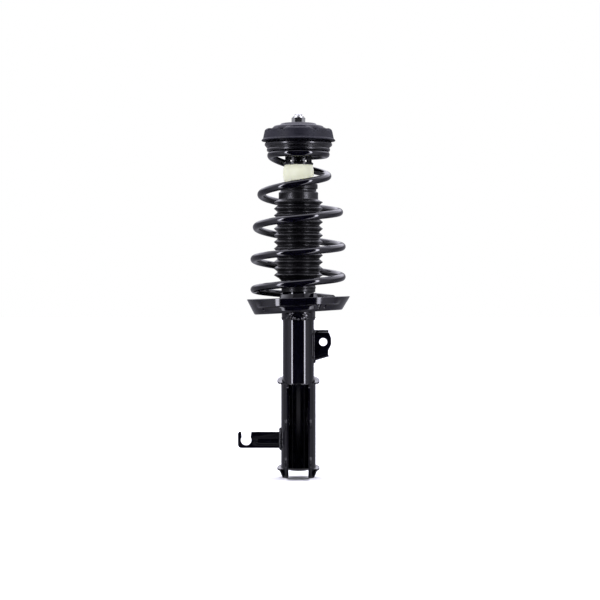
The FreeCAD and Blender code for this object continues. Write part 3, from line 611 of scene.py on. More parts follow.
def lower_seat():
    """The pressed bowl. It leans up towards +X, more at its base than at its rim."""
    base_z = 290.5
    rim_z = 315.8
    base_r = 77.0
    rim_r = 91.0
    sheet = 3.0
    hub_z = 323.0
    base_lean = 3.3
    rim_lean = 1.8
    outline = refined(rounded([
        (45.0, base_z, 3.0), (base_r, base_z, 4.0), (rim_r, rim_z, 1.2),
        (rim_r - sheet, rim_z + 0.3, 1.2), (base_r - 2.6, base_z + sheet, 4.5),
        (50.0, base_z + sheet, 8.0), (34.5, hub_z - 8.0, 7.0), (31.0, hub_z, 0.8),
        (27.6, hub_z, 0.6), (27.6, hub_z - 5.0, 0.6), (31.2, hub_z - 11.0, 6.0),
    ]), 0.9)

    def pressed(angle, radius, height):
        from_front = away(angle, FRONT)
        lean = np.tan(np.radians(base_lean + (rim_lean - base_lean) * soft_step(height, base_z, rim_z)))
        wall = soft_step(radius, base_r - 4.5, base_r - 1.5)
        wall = wall * soft_step(height, base_z + 1.0, base_z + 4.0)
        # Round the front, the upper half of the wall stands upright on a step.
        front = 1 - soft_step(np.abs(from_front), 44.0, 60.0)
        flare = (rim_r - base_r) / (rim_z - base_z)
        step_z = base_z + 13.0
        upright = np.clip(rim_z - height, 0.0, rim_z - step_z) * flare * 0.8
        upright = upright * soft_step(height, step_z - 3.0, step_z)
        # The long oblong pressed out of the lower half, as far along as it is from its middle.
        along = np.radians(from_front) * base_r
        oblong = soft_step(56.0 - np.abs(along + 9.0), 0.0, 1.8)
        oblong = oblong * soft_step(height, base_z + 2.0, base_z + 3.6)
        oblong = oblong * (1 - soft_step(height, step_z - 3.2, step_z - 1.6))
        radius = radius + upright * front * wall + 1.5 * oblong * wall
        # The hub leans as the base does, so that it follows the collar under it.
        toward_x = radius * np.cos(angle)
        bowl = soft_step(radius, 28.0, 40.0)
        height = height + toward_x * lean * bowl
        height = height + toward_x * math.tan(math.radians(base_lean)) * (1 - bowl)
        return radius, height

    seat = revolve("lower_spring_seat_pressed", outline, GLOSS_BLACK, steps=540, shape=pressed)
    cuts = []
    # x, z, half width and half height of each slot in the front wall
    for x, z, half_w, half_h in (
        (-59.0, 298.4, 3.0, 3.0), (24.5, 298.0, 3.4, 3.2), (35.0, 298.0, 1.8, 4.2), (45.0, 297.6, 2.2, 4.0),
    ):
        r = min(half_w, half_h)
        slot = [(-half_w, -half_h, r), (half_w, -half_h, r), (half_w, half_h, r), (-half_w, half_h, r)]
        centre = (x, -math.sqrt(80.0**2 - x**2), z + x * math.tan(math.radians(base_lean)))
        outward = Vector((centre[0], centre[1], 0)).normalized()
        cuts.append(radial_prism("tool", rounded(slot, 8), centre, outward, -14.0, 14.0, GLOSS_BLACK))
    drain_at_r = 60.0
    for angle_deg in (30.0, 150.0, 270.0):
        a = math.radians(angle_deg)
        start = (drain_at_r * math.cos(a), drain_at_r * math.sin(a), 270.0)
        cuts.append(rod_tool(start, (0, 0, 1), 40.0, 4.0, 40))
    carve(seat, *cuts)
    stands_for(seat, "lower_spring_seat")


def rough_bead(angle, amount, waves):
    """The uneven ripple of a weld bead, as a sum of waves of (count, phase) round the tube."""
    total = 0.0
    for count, phase in waves:
        total = total + np.sin(count * angle + phase)
    return amount * total / len(waves)


def seat_collar():
    """The collar under the seat, and the bead that welds it to the tube."""
    r = radius_of("seat_collar")
    tube = radius_of("reserve_tube")
    bottom = heights("seat_collar")[0]
    top = 290.4
    tilt = math.tan(math.radians(3.2))
    outline = [(tube, bottom, 0.3), (r, bottom, 0.8), (r + 0.4, top, 0.3), (tube, top, 0.3)]

    def lumpy(angle, radius, height):
        outer = soft_step(radius, tube + 0.5, r)
        near_front = 1 - soft_step(np.abs(away(angle, FRONT)), 30.0, 60.0)
        lumps = np.sin(1.1 * height + 3 * np.sin(5 * angle)) * np.sin(13 * angle + 0.4 * height)
        uneven = rough_bead(angle, 0.35, ((5, 0.4), (9, 2.1), (14, 4.0)))
        radius = radius + outer * (uneven + 0.5 * lumps * near_front)
        height = height + radius * np.cos(angle) * tilt * soft_step(height, 284.0, 290.0)
        return radius, height

    collar = revolve(
        "seat_collar_ring", refined(rounded(outline), 1.0), GLOSS_BLACK, steps=240, shape=lumpy
    )
    stands_for(collar, "seat_collar")
    bottom, top = heights("seat_weld")
    foot = bottom + 0.2
    rim = top + 1.2
    bead = rounded([
        (tube - 0.2, foot, 0.2), (tube + 1.6, bottom + 0.6, 1.0), (tube + 2.4, top - 0.4, 0.8),
        (tube + 2.4, rim, 0.8), (tube - 0.2, rim, 0.2),
    ])

    def rippled(angle, radius, height):
        outer = soft_step(radius, tube, tube + 1.6)
        ripple = rough_bead(angle, 0.7, ((11, 0.2), (19, 2.8), (27, 1.1), (41, 3.7)))
        wander = rough_bead(angle, 1.3, ((7, 1.0), (13, 0.3), (22, 2.2)))
        return radius + outer * ripple, height + outer * wander

    weld = revolve("seat_weld_bead", refined(bead, 0.6), WELD_BLACK, steps=480, shape=rippled)
    stands_for(weld, "seat_weld")


# ---------------------------------------------------------------- spring, boot, bump stop

# (turns, mean radius, height of the wire's centre) along the coil, from its lower end
SPRING_KNOTS = (
    (0.10, 76.0, 315.0),
    (0.25, 77.9, 320.9),
    (0.50, 78.1, 330.3),
    (0.75, 77.4, 341.0),
    (1.00, 76.9, 353.0),
    (1.50, 78.1, 383.5),
    (2.00, 76.9, 406.2),
    (2.50, 74.1, 439.8),
    (3.00, 72.3, 466.8),
    (3.50, 66.0, 497.9),
    (4.00, 51.6, 530.8),
    (4.25, 48.0, 549.5),
    (4.50, 48.6, 566.0),
    (4.75, 48.7, 567.9),
    (5.00, 48.7, 568.0),
    (5.30, 48.7, 568.0),
)
WIRE_R = 6.35


def through(knots, values, at):
    """Smooth values through knots, with each knot's slope that of its neighbours' chord."""
    knots = np.array(knots)
    values = np.array(values)
    slope = np.gradient(values, knots)
    slope[1:-1] = (values[2:] - values[:-2]) / (knots[2:] - knots[:-2])
    i = np.clip(np.searchsorted(knots, at, side="right") - 1, 0, len(knots) - 2)
    width = knots[i + 1] - knots[i]
    u = (at - knots[i]) / width
    return (
        (2 * u**3 - 3 * u**2 + 1) * values[i]
        + (u**3 - 2 * u**2 + u) * width * slope[i]
        + (-2 * u**3 + 3 * u**2) * values[i + 1]
        + (u**3 - u**2) * width * slope[i + 1]
    )


def coil_spring():
    """Round wire along the knots' curve, its cut ends slightly rounded."""
    turns, radii, levels = zip(*SPRING_KNOTS)
    at = np.linspace(turns[0], turns[-1], 620)
    r = through(turns, radii, at)
    angle = 2 * math.pi * at
    centre = np.stack([r * np.cos(angle), r * np.sin(angle), through(turns, levels, at)], axis=1)
    tangent = unit(np.gradient(centre, axis=0))
    radial = np.stack([np.cos(angle), np.sin(angle), 0 * angle], axis=1)
    radial = unit(radial - tangent * np.sum(radial * tangent, axis=1, keepdims=True))
    upward = np.cross(tangent, radial)
    # (distance in from the wire's end, share of its radius) of the rings that round it off
    rounding = ((0.0, 0.80), (0.25, 0.90), (0.7, 0.97), (1.4, 1.0))
    rings = [(0, centre[0] + tangent[0] * d, share) for d, share in rounding]
    rings += [(i, centre[i], 1.0) for i in range(4, len(at) - 4)]
    rings += [(-1, centre[-1] - tangent[-1] * d, share) for d, share in reversed(rounding)]
    index, middle, share = zip(*rings)
    index = list(index)
    radii = WIRE_R * np.array(share)
    return swept("coil_spring_wire", middle, radial[index], upward[index], radii, 40, SPRING_BLACK, 50)


def dust_boot():
    """The bellows: sharp outer folds, softer inner ones, and a plain ring, groove and band on top."""
    low, high = span("dust_boot")
    bottom, top = low[2], high[2]
    peak = (high[0] - low[0]) / 2
    root = peak - 6.9
    highest_fold = top - 31.8
    pitch = 11.7
    folds = 12
    wall = 1.5
    outer = [
        (29.6, bottom, 0.6), (29.6, bottom + 6.0, 0.5), (30.4, bottom + 6.6, 0.5),
        (30.4, bottom + 9.0, 0.5), (29.6, bottom + 9.8, 0.5), (29.6, bottom + 19.0, 2.0),
        (root - 2.0, bottom + 24.0, 1.5),
    ]
    inner = [(27.9, bottom, 0.4), (27.9, bottom + 20.0, 2.0), (root - 4.4, bottom + 25.0, 1.5)]
    for i in range(folds):
        z = highest_fold - pitch * (folds - 1 - i)
        outer.append((peak, z, 0.55))
        inner.append((peak - 2.6, z, 0.4))
        if i < folds - 1:
            outer.append((root, z + pitch / 2, 1.1))
            inner.append((root - wall, z + pitch / 2, 1.0))
    outer += [
        (34.5, top - 27.4, 1.0), (34.5, top - 15.0, 1.6), (31.2, top - 13.0, 1.0),
        (31.2, top - 9.4, 0.8), (33.6, top - 8.4, 1.0), (33.6, top, 1.4),
    ]
    inner += [
        (32.8, top - 26.8, 1.0), (32.8, top - 16.0, 1.0), (29.5, top - 13.6, 1.0),
        (29.5, top - 9.0, 0.8), (27.7, top - 7.4, 0.6), (27.7, top, 0.8),
    ]
    outline = refined(rounded(outer + inner[::-1], 5), 2.5)

    def seamed(angle, radius, height):
        fold = rough_bead(angle, 0.22, ((2, 0.7), (3, 1.9), (5, 4.1)))
        height = height + fold * soft_step(radius, 33.0, peak) * np.sin(height / 9.0)
        for side in (0.0, 180.0):
            seam = np.exp(-((away(angle, side) / 0.7) ** 2))
            radius = radius + 0.28 * seam * soft_step(radius, 29.0, 29.6)
        return radius, height

    return revolve("dust_boot_bellows", outline, BOOT_RUBBER, steps=300, shape=seamed, smooth_deg=60)


def bump_stop():
    """The foam stop: a barrel above and a stepped, waisted tail in the boot."""
    low, high = span("bump_stop")
    r = (high[0] - low[0]) / 2
    bottom, top = low[2], high[2]
    bore = 12.0
    outline = rounded([
        (bore, bottom, 1.5), (20.5, bottom, 4.0), (21.5, bottom + 6.0, 4.0), (19.5, bottom + 10.5, 2.0),
        (24.0, bottom + 14.0, 4.0), (25.0, 520.0, 30.0), (r + 0.2, 533.0, 24.0), (r + 0.1, 541.0, 20.0),
        (25.5, top - 2.6, 3.0), (24.6, top, 1.2), (bore, top, 1.0),
    ], 10)
    stop = revolve("bump_stop_foam", refined(outline, 2.0), FOAM, steps=160, smooth_deg=50)
    stands_for(stop, "bump_stop")


# ---------------------------------------------------------------- top mount

def spring_top_seat():
    """The bearing's lower housing: a ring over the top coil, on a neck with windows all round."""
    bottom, top = heights("upper_spring_seat")
    r = radius_of("upper_spring_seat")
    neck = 23.5
    inside = neck - 3.0
    outline = rounded([
        (neck + 0.2, bottom, 0.4), (25.8, bottom, 0.8), (26.3, bottom + 3.2, 0.9),
        (neck, bottom + 4.8, 1.0), (neck, top - 6.0, 3.0), (27.5, top - 2.4, 2.0),
        (r - 3.4, top - 2.4, 0.5),
        (r - 2.4, top - 5.4, 0.5), (r - 0.6, top - 5.4, 0.6), (r, top - 2.6, 1.0), (r - 0.8, top, 0.6),
        (47.4, top, 0.3), (47.4, top - 1.2, 0.2), (36.6, top - 1.2, 0.2), (36.6, top, 0.3),
        (inside, top, 0.6), (inside, bottom + 4.0, 0.6), (neck + 0.2, bottom + 2.4, 0.4),
    ])
    seat = revolve("spring_top_housing", outline, NYLON_BLACK, steps=240)
    foot = bottom + 4.6
    window = rounded([(-4.2, foot, 0.7), (4.2, foot, 0.7), (0.0, bottom + 16.4, 0.7)], 4)
    cuts = []
    for i in range(10):
        outward = level_direction(FRONT + 36.0 * i)
        cuts.append(radial_prism("tool", window, (0, 0, 0), outward, 14.0, 32.0, NYLON_BLACK))
    carve(seat, *cuts)
    stands_for(seat, "upper_spring_seat")


def bearing_cover():
    """The bearing's upper housing: a grooved ring with a skirt, held on by eight clips."""
    low, high = span("bearing_cover")
    r = (high[0] - low[0]) / 2
    bottom, top = low[2], high[2]
    outline = rounded([
        (47.8, bottom + 1.0, 0.3), (52.0, bottom + 1.0, 0.2), (52.4, bottom - 2.0, 0.4),
        (55.0, bottom - 2.0, 0.4), (55.4, bottom + 0.4, 0.4), (57.2, bottom, 0.8),
        (r, bottom + 2.6, 2.2), (r - 0.1, bottom + 5.4, 2.2), (r - 1.8, top - 2.6, 1.0),
        (r - 2.2, top, 0.4), (24.0, top, 0.4), (24.0, top - 4.0, 0.4), (36.4, top - 4.0, 0.4),
        (36.4, top - 4.4, 0.1), (47.8, top - 4.4, 0.1),
    ])
    pieces = [revolve("bearing_cover_ring", outline, NYLON_BLACK, steps=240)]
    z0, z1 = bottom - 0.4, bottom + 3.0
    clip = rounded([(-3.6, z0, 0.6), (3.6, z0, 0.6), (3.6, z1, 0.2), (-3.6, z1, 0.2)], 3)
    for i in range(8):
        outward = level_direction(FRONT - 15.0 + 45.0 * i)
        pieces.append(radial_prism("clip", clip, (0, 0, 0), outward, 55.4, 57.7, NYLON_BLACK))
    stands_for(joined("bearing_cover_clipped", pieces), "bearing_cover")


def mount_rubber():
    """The rubber drum: a thin lip below, a tapered side and a notched rim round the top."""
    low, high = span("mount_rubber")
    bottom, top = low[2], high[2]
    lip = (high[0] - low[0]) / 2
    outline = refined(rounded([
        (24.0, 592.05, 0.4), (58.4, 592.05, 0.4), (62.6, bottom, 0.5), (lip, bottom + 0.4, 0.7),
        (lip - 0.4, bottom + 2.2, 0.8), (62.4, bottom + 4.2, 1.6), (59.4, top - 2.4, 2.0),
        (57.0, top, 1.4), (48.6, top, 1.0), (46.8, top - 3.0, 0.8), (46.8, 605.6, 1.4),
        (33.0, 606.0, 1.6), (29.0, 609.0, 1.6), (20.0, 609.0, 1.0), (17.0, 604.0, 0.6),
        (20.0, 602.0, 0.3), (30.1, 602.0, 0.1), (30.1, 599.0, 0.1), (24.0, 593.0, 0.3),
    ], 5), 1.0)
    # Each notch in degrees: its middle from the middle of a third of the rim, its half width, and
    # its slope towards the third's middle. Its other end slopes over 1.2.
    notches = ((-26.7, 2.4, 12.0), (0.0, 3.6, 4.6), (26.7, 2.4, 12.0))
    depth = 4.6

    def notched(angle, radius, height):
        cut = 0.0 * angle
        for third in range(3):
            for centre, half, ramp in notches:
                off = away(angle, FRONT + 60.0 + centre + 120.0 * third)
                outward = off * (1.0 if centre < 0 else -1.0)
                steep = (half + 1.2 - outward) / 1.2
                gentle = (half + ramp + outward) / ramp
                cut = np.maximum(cut, np.clip(np.where(outward > 0, steep, gentle), 0.0, 1.0))
        rim = soft_step(radius, 46.0, 47.2)
        share = np.clip((height - (top - depth)) / depth, 0.0, 1.0)
        return radius, height - cut * rim * share * depth

    rubber = revolve("mount_rubber_drum", outline, MOUNT_RUBBER, steps=540, shape=notched, smooth_deg=40)
    stands_for(rubber, "mount_rubber")


def hexagon_nut(name, node, flats, z1, crown_r, bore, chamfer):
    """A hexagon nut: its corners turned away at both ends, with a round crown on top."""
    z0, crown_top = heights(node)
    corner = flats / math.sqrt(3.0)
    turns = [math.radians(60 * i) for i in range(6)]
    outline = [(corner * math.cos(a), corner * math.sin(a)) for a in turns]
    nut = extruded(name, outline, "Z", z0, z1, ZINC)
    face = flats / 2 - 0.2
    reach = corner + 0.3
    turned = [(0.0, z0 - 0.01), (face, z0 - 0.01), (reach, z0 + chamfer)]
    turned += [(reach, z1 - chamfer), (face, z1 + 0.01), (0.0, z1 + 0.01)]
    carve(nut, revolve("tool", turned, ZINC, steps=128), operation="INTERSECT")
    root = z1 - 1.0
    crown = rounded([(0.0, root, 0), (crown_r, root, 0), (crown_r, crown_top, 0.8), (0.0, crown_top, 0)])
    carve(nut, revolve("tool", crown, ZINC, steps=128), operation="UNION")
    carve(nut, rod_tool((0, 0, z0 - 5.0), (0, 0, 1), crown_top - z0 + 10.0, bore, 64))
    soften(nut, 0.18, 2, 30.0)
    stands_for(nut, node)


def nuts():
    """The mount's nut with its round collar, and the top nut with its nylon insert."""
    hexagon_nut("mount_retaining_nut", "retaining_nut", 22.0, 615.0, 9.25, bore=7.08, chamfer=1.3)
    top = heights("top_nut")[1]
    hexagon_nut("top_nut_hex", "top_nut", 21.0, top - 2.2, 9.5, bore=7.1, chamfer=1.6)
    foot = top - 3.0
    outline = rounded([(7.12, foot, 0.2), (8.2, foot, 0.2), (8.4, top, 0.3), (7.12, top - 0.2, 0.3)])
    insert = revolve("top_nut_insert", outline, INSERT_NYLON, steps=96)
    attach(insert, BODY_OF_NODE["top_nut"])


def tower_cup():
    """The pressed retainer: a raised centre, a step, a flat ring and a turned-down rim."""
    bottom, top = heights("tower_cup")
    t = 2.6
    z = top - t
    step_z = z - 5.0
    r = radius_of("tower_cup")
    outline = rounded([
        (7.5, z, 0.3), (27.6, z, 2.4), (30.6, step_z, 2.4), (39.2, step_z, 3.4), (42.6, bottom, 0.5),
        (r, bottom, 0.6), (r - 1.4, step_z + t + 1.0, 5.0), (34.0, step_z + t, 3.2),
        (30.4, z + t, 2.6), (12.0, z + t, 0.4), (11.6, z + t - 0.3, 0.3), (7.5, z + t - 0.3, 0.5),
    ], 8)
    stands_for(revolve("tower_cup_pressed", outline, SATIN_BLACK, steps=240), "tower_cup")


# ---------------------------------------------------------------- brackets

def knuckle_bracket():
    """One pressed sheet: an ear, the wrap round the tube with both edges flanged out, the other ear."""
    low, high = span("knuckle_bracket")
    sheet = 3.0
    gap_half = 17.2
    mid_r = radius_of("reserve_tube") + sheet / 2 + 0.05
    ear_x = gap_half + sheet / 2
    front_y = low[1]
    bend = 4.0
    curl = 3.0
    lip_out = (high[0] - low[0]) / 2 - mid_r
    neck_y = -math.sqrt((mid_r + bend) ** 2 - (ear_x + bend) ** 2)

    # The right half of the plan: along the ear, round the bend and round the wrap to the back.
    ear = front_y + (neck_y - front_y) * (np.linspace(0, 1, 44) ** 1.15)
    right = [(ear_x, y) for y in ear]
    turn_end = math.atan2(-neck_y, -(ear_x + bend))
    for a in np.linspace(math.pi, turn_end, 10)[1:]:
        right.append((ear_x + bend + bend * math.cos(a), neck_y + bend * math.sin(a)))
    for a in np.linspace(math.atan2(neck_y, ear_x + bend), math.pi / 2, 60)[1:]:
        right.append((mid_r * math.cos(a), mid_r * math.sin(a)))
    plan = np.array(right + [(-x, y) for x, y in reversed(right[:-1])])
    tangent = unit(np.gradient(plan, axis=0))
    outward = np.stack([tangent[:, 1], -tangent[:, 0]], axis=1)

    # Both edges rise towards the back, the top from the bend on and the foot behind the ears.
    slope_y = -21.0
    run = 37.4 - slope_y
    top_at = 165.0
    foot_at = 11.5
    rounding = 9.0
    rows = []
    for (x, y), out in zip(plan, outward):
        z_top = top_at + (high[2] - top_at) / run * max(y - slope_y, 0.0)
        ear_foot = 4.0 * min(1.0, max(0.0, (-y - 18.0) / 50.0))
        wrap_foot = foot_at + (21.4 - foot_at) / run * (y - slope_y)
        z_foot = ear_foot + (wrap_foot - ear_foot) * float(soft_step(y, -16.5, -12.5))
        from_front = y - front_y
        if from_front < rounding:
            drop = rounding - math.sqrt(max(rounding**2 - (rounding - from_front) ** 2, 0.0))
            z_top -= drop
            z_foot += drop
        edge = flange(float(soft_step(y, -19.5, -11.0)), lip_out, curl, sheet)
        rise = curl + sheet / 2
        column = [(offset, z_foot + height) for offset, height in edge]
        for t in np.linspace(0, 1, 40)[1:-1]:
            column.append((0.0, z_foot + rise + (z_top - z_foot - 2 * rise) * t))
        column += [(offset, z_top - height) for offset, height in reversed(edge)]
        rows.append([(x + out[0] * offset, y + out[1] * offset, z) for offset, z in column])
    bracket = sheet_from_grid("knuckle_bracket_pressed", np.array(rows), sheet, GLOSS_BLACK)
    soften(bracket, 0.5, 3, 50.0)
    bolt_y = -50.0
    bosses = []
    holes = []
    for z in (30.0, 95.0):
        bosses += [boss(side, bolt_y, z, gap_half + sheet - 0.6, 3.8) for side in (-1, 1)]
        holes.append(rod_tool((-60, bolt_y, z), (1, 0, 0), 120.0, 7.1, 64))
    carve(bracket, *bosses, operation="UNION")
    carve(bracket, *holes)
    soften(bracket, 0.35, 2, 50.0)
    stands_for(bracket, "knuckle_bracket")


def flange(lip, reach, curl, sheet):
    """(offset outwards, height) from a flanged edge's tip to the wall: none at lip 0, whole at 1."""
    whole = [(reach - (reach - curl) * t, sheet / 2) for t in np.linspace(0, 1, 5)]
    for a in np.linspace(0, math.pi / 2, 9)[1:]:
        whole.append((curl - curl * math.sin(a), sheet / 2 + curl - curl * math.cos(a)))
    out = []
    for i, (offset, height) in enumerate(whole):
        plain = (sheet / 2 + curl) * i / (len(whole) - 1)
        out.append((offset * lip, plain + (height - plain) * lip))
    return out


def spun_tool(profile, y, z, sides):
    """A solid to cut or join with: a profile of (x, radius) spun about a line along X."""
    points = []
    for i in range(sides):
        a = 2 * math.pi * i / sides
        points += [(x, y + r * math.cos(a), z + r * math.sin(a)) for x, r in profile]
    count = len(profile)
    faces = []
    for i in range(sides):
        j = (i + 1) % sides
        for k in range(count - 1):
            faces.append((i * count + k, j * count + k, j * count + k + 1, i * count + k + 1))
    return mesh_object("tool", points, faces, GLOSS_BLACK)


def boss(side, y, z, x0, height):
    """The round collar drawn up round a bolt hole."""
    r = 9.3
    profile = rounded([(0.0, 0.0, 0), (r + 1.4, 0.0, 0), (r, 1.2, 0.8), (r, height, 0.7), (0.0, height, 0)])
    return spun_tool([(side * (x0 + h), radius) for radius, h in profile], y, z, 64)


def weld_line(points, radius, seed):
    """A welded bead along a line of points: overlapping ripples of uneven size."""
    random = np.random.default_rng(seed)
    points = np.array(points, float)
    reach = np.concatenate([[0.0], np.cumsum(np.linalg.norm(np.diff(points, axis=0), axis=1))])
    length = reach[-1]
    count = max(8, int(length / 0.55))
    at = np.linspace(0, length, count)
    centre = np.stack([np.interp(at, reach, points[:, i]) for i in range(3)], axis=1)
    tangent = unit(np.gradient(centre, axis=0))
    side = np.cross(tangent, np.array([0.0, -0.31, 0.95]))
    weak = np.linalg.norm(side, axis=1) < 0.2
    side[weak] = np.cross(tangent[weak], np.array([0.0, 1.0, 0.0]))
    side = unit(side)
    wander = np.interp(at, np.linspace(0, length, 9), random.uniform(0.82, 1.18, 9))
    ripple = 1 + 0.13 * np.abs(np.sin(at / 2.2 * math.pi)) + random.uniform(-0.03, 0.03, count)
    taper = np.minimum(1.0, np.sqrt(np.clip(np.minimum(at, length - at) / radius, 0.02, 1.0)))
    radii = radius * wander * ripple * taper
    return swept("bead", centre, side, np.cross(side, tangent), radii, 20, WELD_BLACK, 60)


def knuckle_welds():
    """A bead up each of the wrap's front edges, and one across the tube over the opening."""
    tube = radius_of("reserve_tube")
    bottom, top = heights("knuckle_welds")
    x = 16.2
    y = -math.sqrt(tube**2 - x**2)
    left = [(-x, y, z) for z in np.linspace(bottom + 14.0, top, 12)]
    right = [(x, y, z) for z in np.linspace(bottom, top - 22.0, 12)]
    front = [
        (tube * math.cos(a), tube * math.sin(a), 164.4 + 0.4 * math.sin(7 * a))
        for a in np.linspace(math.radians(-128), math.radians(-52), 24)
    ]
    beads = [weld_line(left, 2.0, 3), weld_line(right, 2.0, 8), weld_line(front, 1.7, 21)]
    stands_for(joined("knuckle_weld_beads", beads), "knuckle_welds")


def link_bracket():
    """The link arm: a plate with its top and bottom edges turned back over round bends."""
    high = span("link_bracket")[1]
    sheet = 4.0
    root_x = 24.0
    depth = high[1]
    bend = 4.5
    top_rise = 4.2
    upper = high[2] - top_rise - sheet / 2
    hole = (43.6, 238.1)
    tube = radius_of("reserve_tube")
    quarter = np.linspace(0, math.pi / 2, 7)
    across = np.linspace(0, 1, 6)
    columns = []
    for t in np.linspace(0, 1, 26):
        lower = 203.6 + 8.6 * t + sheet / 2
        path = [(depth - (depth - bend) * s, upper + 4.0 * (1 - s)) for s in across]
        path += [(bend - bend * math.sin(a), upper - bend + bend * math.cos(a)) for a in quarter[1:]]
        path += [(0.0, z) for z in np.linspace(upper - bend, lower + bend, 46)[1:-1]]
        path += [(bend - bend * math.cos(a), lower + bend - bend * math.sin(a)) for a in quarter]
        path += [(bend + (depth - bend) * s, lower) for s in across[1:]]
        columns.append([(root_x + (link_end(z, y) - root_x) * t, y, z) for y, z in path])
    arm = sheet_from_grid("link_bracket_pressed", np.array(columns), sheet, GLOSS_BLACK)
    carve(arm, rod_tool((hole[0], -30.0, hole[1]), (0, 1, 0), 60.0, 7.0, 72))
    carve(arm, rod_tool((0, 0, 190.0), (0, 0, 1), 90.0, tube - 0.4, 96))
    soften(arm, 0.5, 3, 50.0)
    stands_for(arm, "link_bracket")
    welds = []
    bead_r = tube + 0.8
    for z, rise, seed in ((high[2] - 3.0, 3.4, 5), (203.4, 0.0, 6)):
        points = [
            (bead_r * math.cos(a), bead_r * math.sin(a), z + rise * math.sin(a) * 1.6)
            for a in np.linspace(math.radians(-9), math.radians(30), 10)
        ]
        welds.append(weld_line(points, 2.3, seed))
    side_front = [(tube - 0.2, -2.6, z) for z in np.linspace(206.0, 259.0, 10)]
    welds.append(weld_line(side_front, 1.3, 12))
    stands_for(joined("link_weld_beads", welds), "link_weld")


def link_end(z, y):
    """The arm's free edge: a bulge round the hole between two straight stretches."""
    if y > 2.0:
        return 53.3
    levels = (222.0, 223.5, 232.5, 234.5, 244.5, 246.5, 254.0)
    return float(np.interp(z, levels, (52.4, 52.6, 57.2, 57.7, 57.7, 57.2, 53.8)))


def hose_bracket():
    """The hook: a flat strip with an open-topped slot and a pressed groove along it."""
    low, high = span("hose_bracket")
    end_x, z0, z1 = low[0], low[2], high[2]
    root_x = -27.0
    half_sheet = 1.5
    slot_x, slot_z, slot_r = -92.0, 65.6, 9.2
    neck = 7.8
    arc_from = math.asin((71.0 - slot_z) / slot_r)
    arc = [
        (slot_x + slot_r * math.cos(a), slot_z + slot_r * math.sin(a))
        for a in np.linspace(arc_from, -math.pi - arc_from, 40)
    ]
    outline = rounded([
        (root_x, z0, 0), (root_x, z1 - 0.3, 0), (-82.9, z1 - 0.3, 1.2), (slot_x + neck, 71.5, 0.6),
    ], 5)[:-1]
    outline += [(slot_x + neck, 71.5)] + arc + [(slot_x - neck, 71.5)]
    outline += rounded([
        (-100.8, z1 - 0.2, 0.6), (end_x + 2.4, z1, 1.0), (end_x, z1 - 3.2, 1.6), (end_x, z0, 6.5),
        (root_x, z0, 0),
    ], 8)[1:-1]
    plate = extruded("hose_bracket_plate", outline, "Y", -half_sheet, half_sheet, GLOSS_BLACK)
    carve(plate, capsule_tool(-70.0, -34.0, -4.6, 63.4, 7.2), operation="UNION")
    carve(plate, capsule_tool(-70.0, -34.0, -7.6, 63.4, 7.4))
    carve(plate, box_tool((-120, -40, 40), (0, -half_sheet, 90)))
    soften(plate, 0.45, 3, 30.0)
    stands_for(plate, "hose_bracket")
    wrap = radius_of("reserve_tube") + 3.4
    beads = []
    for x, y, z_from, z_to, radius, seed in (
        (wrap + 0.4, -2.0, 50.0, 80.0, 2.6, 14),
        (wrap + 0.4, 2.0, 50.0, 80.0, 2.6, 15),
        (wrap + 0.3, 0.0, 47.5, 88.0, 2.7, 17),
    ):
        beads.append(weld_line([(-x, y, z) for z in np.linspace(z_from, z_to, 9)], radius, seed))
    stands_for(joined("hose_weld_beads", beads), "hose_weld")


def capsule_tool(x0, x1, y, z, radius):
    """A round-ended bar along X."""
    quarter = np.linspace(0, math.pi / 2, 10)
    profile = [(x0 - radius * math.cos(a), radius * math.sin(a)) for a in quarter]
    profile += [(x1 + radius * math.sin(a), radius * math.cos(a)) for a in quarter]
    return spun_tool(profile, y, z, 40)


def box_tool(low, high):
    points = [(x, y, z) for x in (low[0], high[0]) for y in (low[1], high[1]) for z in (low[2], high[2])]
    faces = [(0, 1, 3, 2), (4, 6, 7, 5), (0, 4, 5, 1), (2, 3, 7, 6), (0, 2, 6, 4), (1, 5, 7, 3)]
    return mesh_object("tool", points, faces, GLOSS_BLACK)


# ---------------------------------------------------------------- the spring and the boot

def squashing_pieces():
    """The spring and the boot, each set in its body and given a mesh of its own."""
    spring = coil_spring()
    stands_for(spring, "coil_spring")
    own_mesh(spring)
    boot = dust_boot()
    stands_for(boot, "dust_boot")
    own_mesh(boot)


# ---------------------------------------------------------------- studio

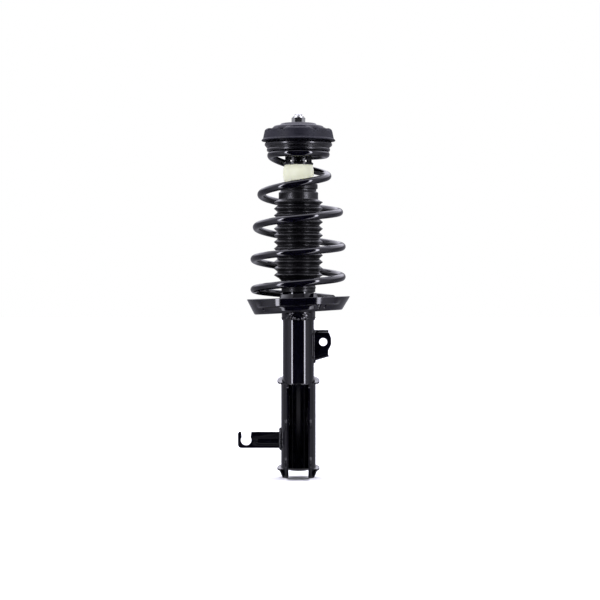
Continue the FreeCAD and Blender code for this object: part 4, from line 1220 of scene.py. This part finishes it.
def world_light():
    """A white room with a dark stretch behind the camera and a tall bright panel each side of it."""
    world = bpy.data.worlds.new("studio")
    bpy.context.scene.world = world
    world.use_nodes = True
    world.node_tree.nodes.clear()
    n = Tree(world.node_tree)

    def maths(operation, *values):
        return n.add("ShaderNodeMath", dict(enumerate(values)), operation=operation).outputs[0]

    def times(first, second):
        return maths("MULTIPLY", first, second)

    def band(value, low, high, to_low=0.0, to_high=1.0):
        return n.between(value, to_low, to_high, low, high, interpolation_type="SMOOTHSTEP")

    place = n.add("ShaderNodeTexCoord", {}).outputs["Generated"]
    x, y, z = n.add("ShaderNodeSeparateXYZ", {0: place}).outputs
    flat = maths("SQRT", maths("ADD", times(x, x), times(y, y)))
    # 1 for light from straight behind the camera, -1 for light from behind the strut
    to_camera = maths("DIVIDE", times(y, -1.0), maths("MAXIMUM", flat, 0.001))
    dark = times(band(to_camera, 0.71, 0.76), band(z, 0.6, 0.95, 1.0, 0.0))
    strip = times(band(to_camera, 0.60, 0.635), band(to_camera, 0.71, 0.74, 1.0, 0.0))
    upright = times(band(z, 0.55, 0.62, 1.0, 0.0), band(z, -0.3, -0.1, 0.3, 1.0))
    strip = times(strip, times(upright, band(z, -0.9, -0.86)))
    bench = times(band(z, -0.09, -0.062, 1.0, 0.0), band(z, -0.16, -0.12))
    bench = times(bench, band(to_camera, 0.95, 0.99))
    ceiling = band(z, 0.75, 0.9)
    behind = band(to_camera, -0.3, 0.5, 1.0, 0.0)
    side = maths("SUBTRACT", 0.9, times(dark, 0.896))
    side = maths("SUBTRACT", side, times(behind, 0.55))
    high_back = times(behind, band(z, 0.18, 0.42, 0.0, 1.7))
    room = maths("ADD", side, high_back)
    level = maths("ADD", times(strip, 17.0), room)
    level = maths("ADD", level, times(ceiling, 1.6))
    level = maths("ADD", level, times(bench, 0.42))
    light = n.add("ShaderNodeBackground", {"Color": (0.94, 0.93, 1.06, 1.0), "Strength": level})
    # What the camera sees past the strut is plain white.
    backdrop = n.add("ShaderNodeBackground", {"Color": (1.0, 1.0, 1.0, 1.0)})
    seen = n.add("ShaderNodeLightPath", {}).outputs["Is Camera Ray"]
    choose = n.add("ShaderNodeMixShader", {0: seen, 1: light.outputs[0], 2: backdrop.outputs[0]})
    n.add("ShaderNodeOutputWorld", {"Surface": choose.outputs[0]})


def studio_floor():
    """A plain pale floor that the ears stand on, left out of reflections."""
    size = 30.0
    corners = [(-size, -size, 0), (size, -size, 0), (size, size, 0), (-size, size, 0)]
    mesh = bpy.data.meshes.new("studio_floor")
    mesh.from_pydata(corners, [], [(0, 1, 2, 3)])
    floor = placed("studio_floor", mesh)
    n = Nodes("studio_floor")
    n.colour(n.ramp(n.noise(3.0), [(0.3, (0.9, 0.9, 0.9)), (0.7, (0.92, 0.92, 0.92))]))
    n.fix("Roughness", 0.9)
    n.fix("Specular IOR Level", 0.0)
    mesh.materials.append(n.material)
    floor.visible_glossy = False


def camera():
    """Level with the strut's middle, square to the bracket's open side."""
    distance_m = 3.4
    frame_width_m = 1.056
    data = bpy.data.cameras.new("camera")
    data.sensor_width = 36.0
    data.lens = data.sensor_width * distance_m / frame_width_m
    data.clip_end = 100.0
    eye = placed("camera", data)
    eye.location = (0.0028, -distance_m, 0.312)
    eye.rotation_euler = (math.radians(90), 0, 0)
    bpy.context.scene.camera = eye
    bpy.context.scene.view_settings.view_transform = "Standard"


# ---------------------------------------------------------------- assembly

finish_cad_nodes()
damper_tube()
damper_foot()
piston_rod()
lower_seat()
seat_collar()
squashing_pieces()
bump_stop()
spring_top_seat()
bearing_cover()
mount_rubber()
nuts()
tower_cup()
knuckle_bracket()
knuckle_welds()
link_bracket()
hose_bracket()
world_light()
studio_floor()
camera()
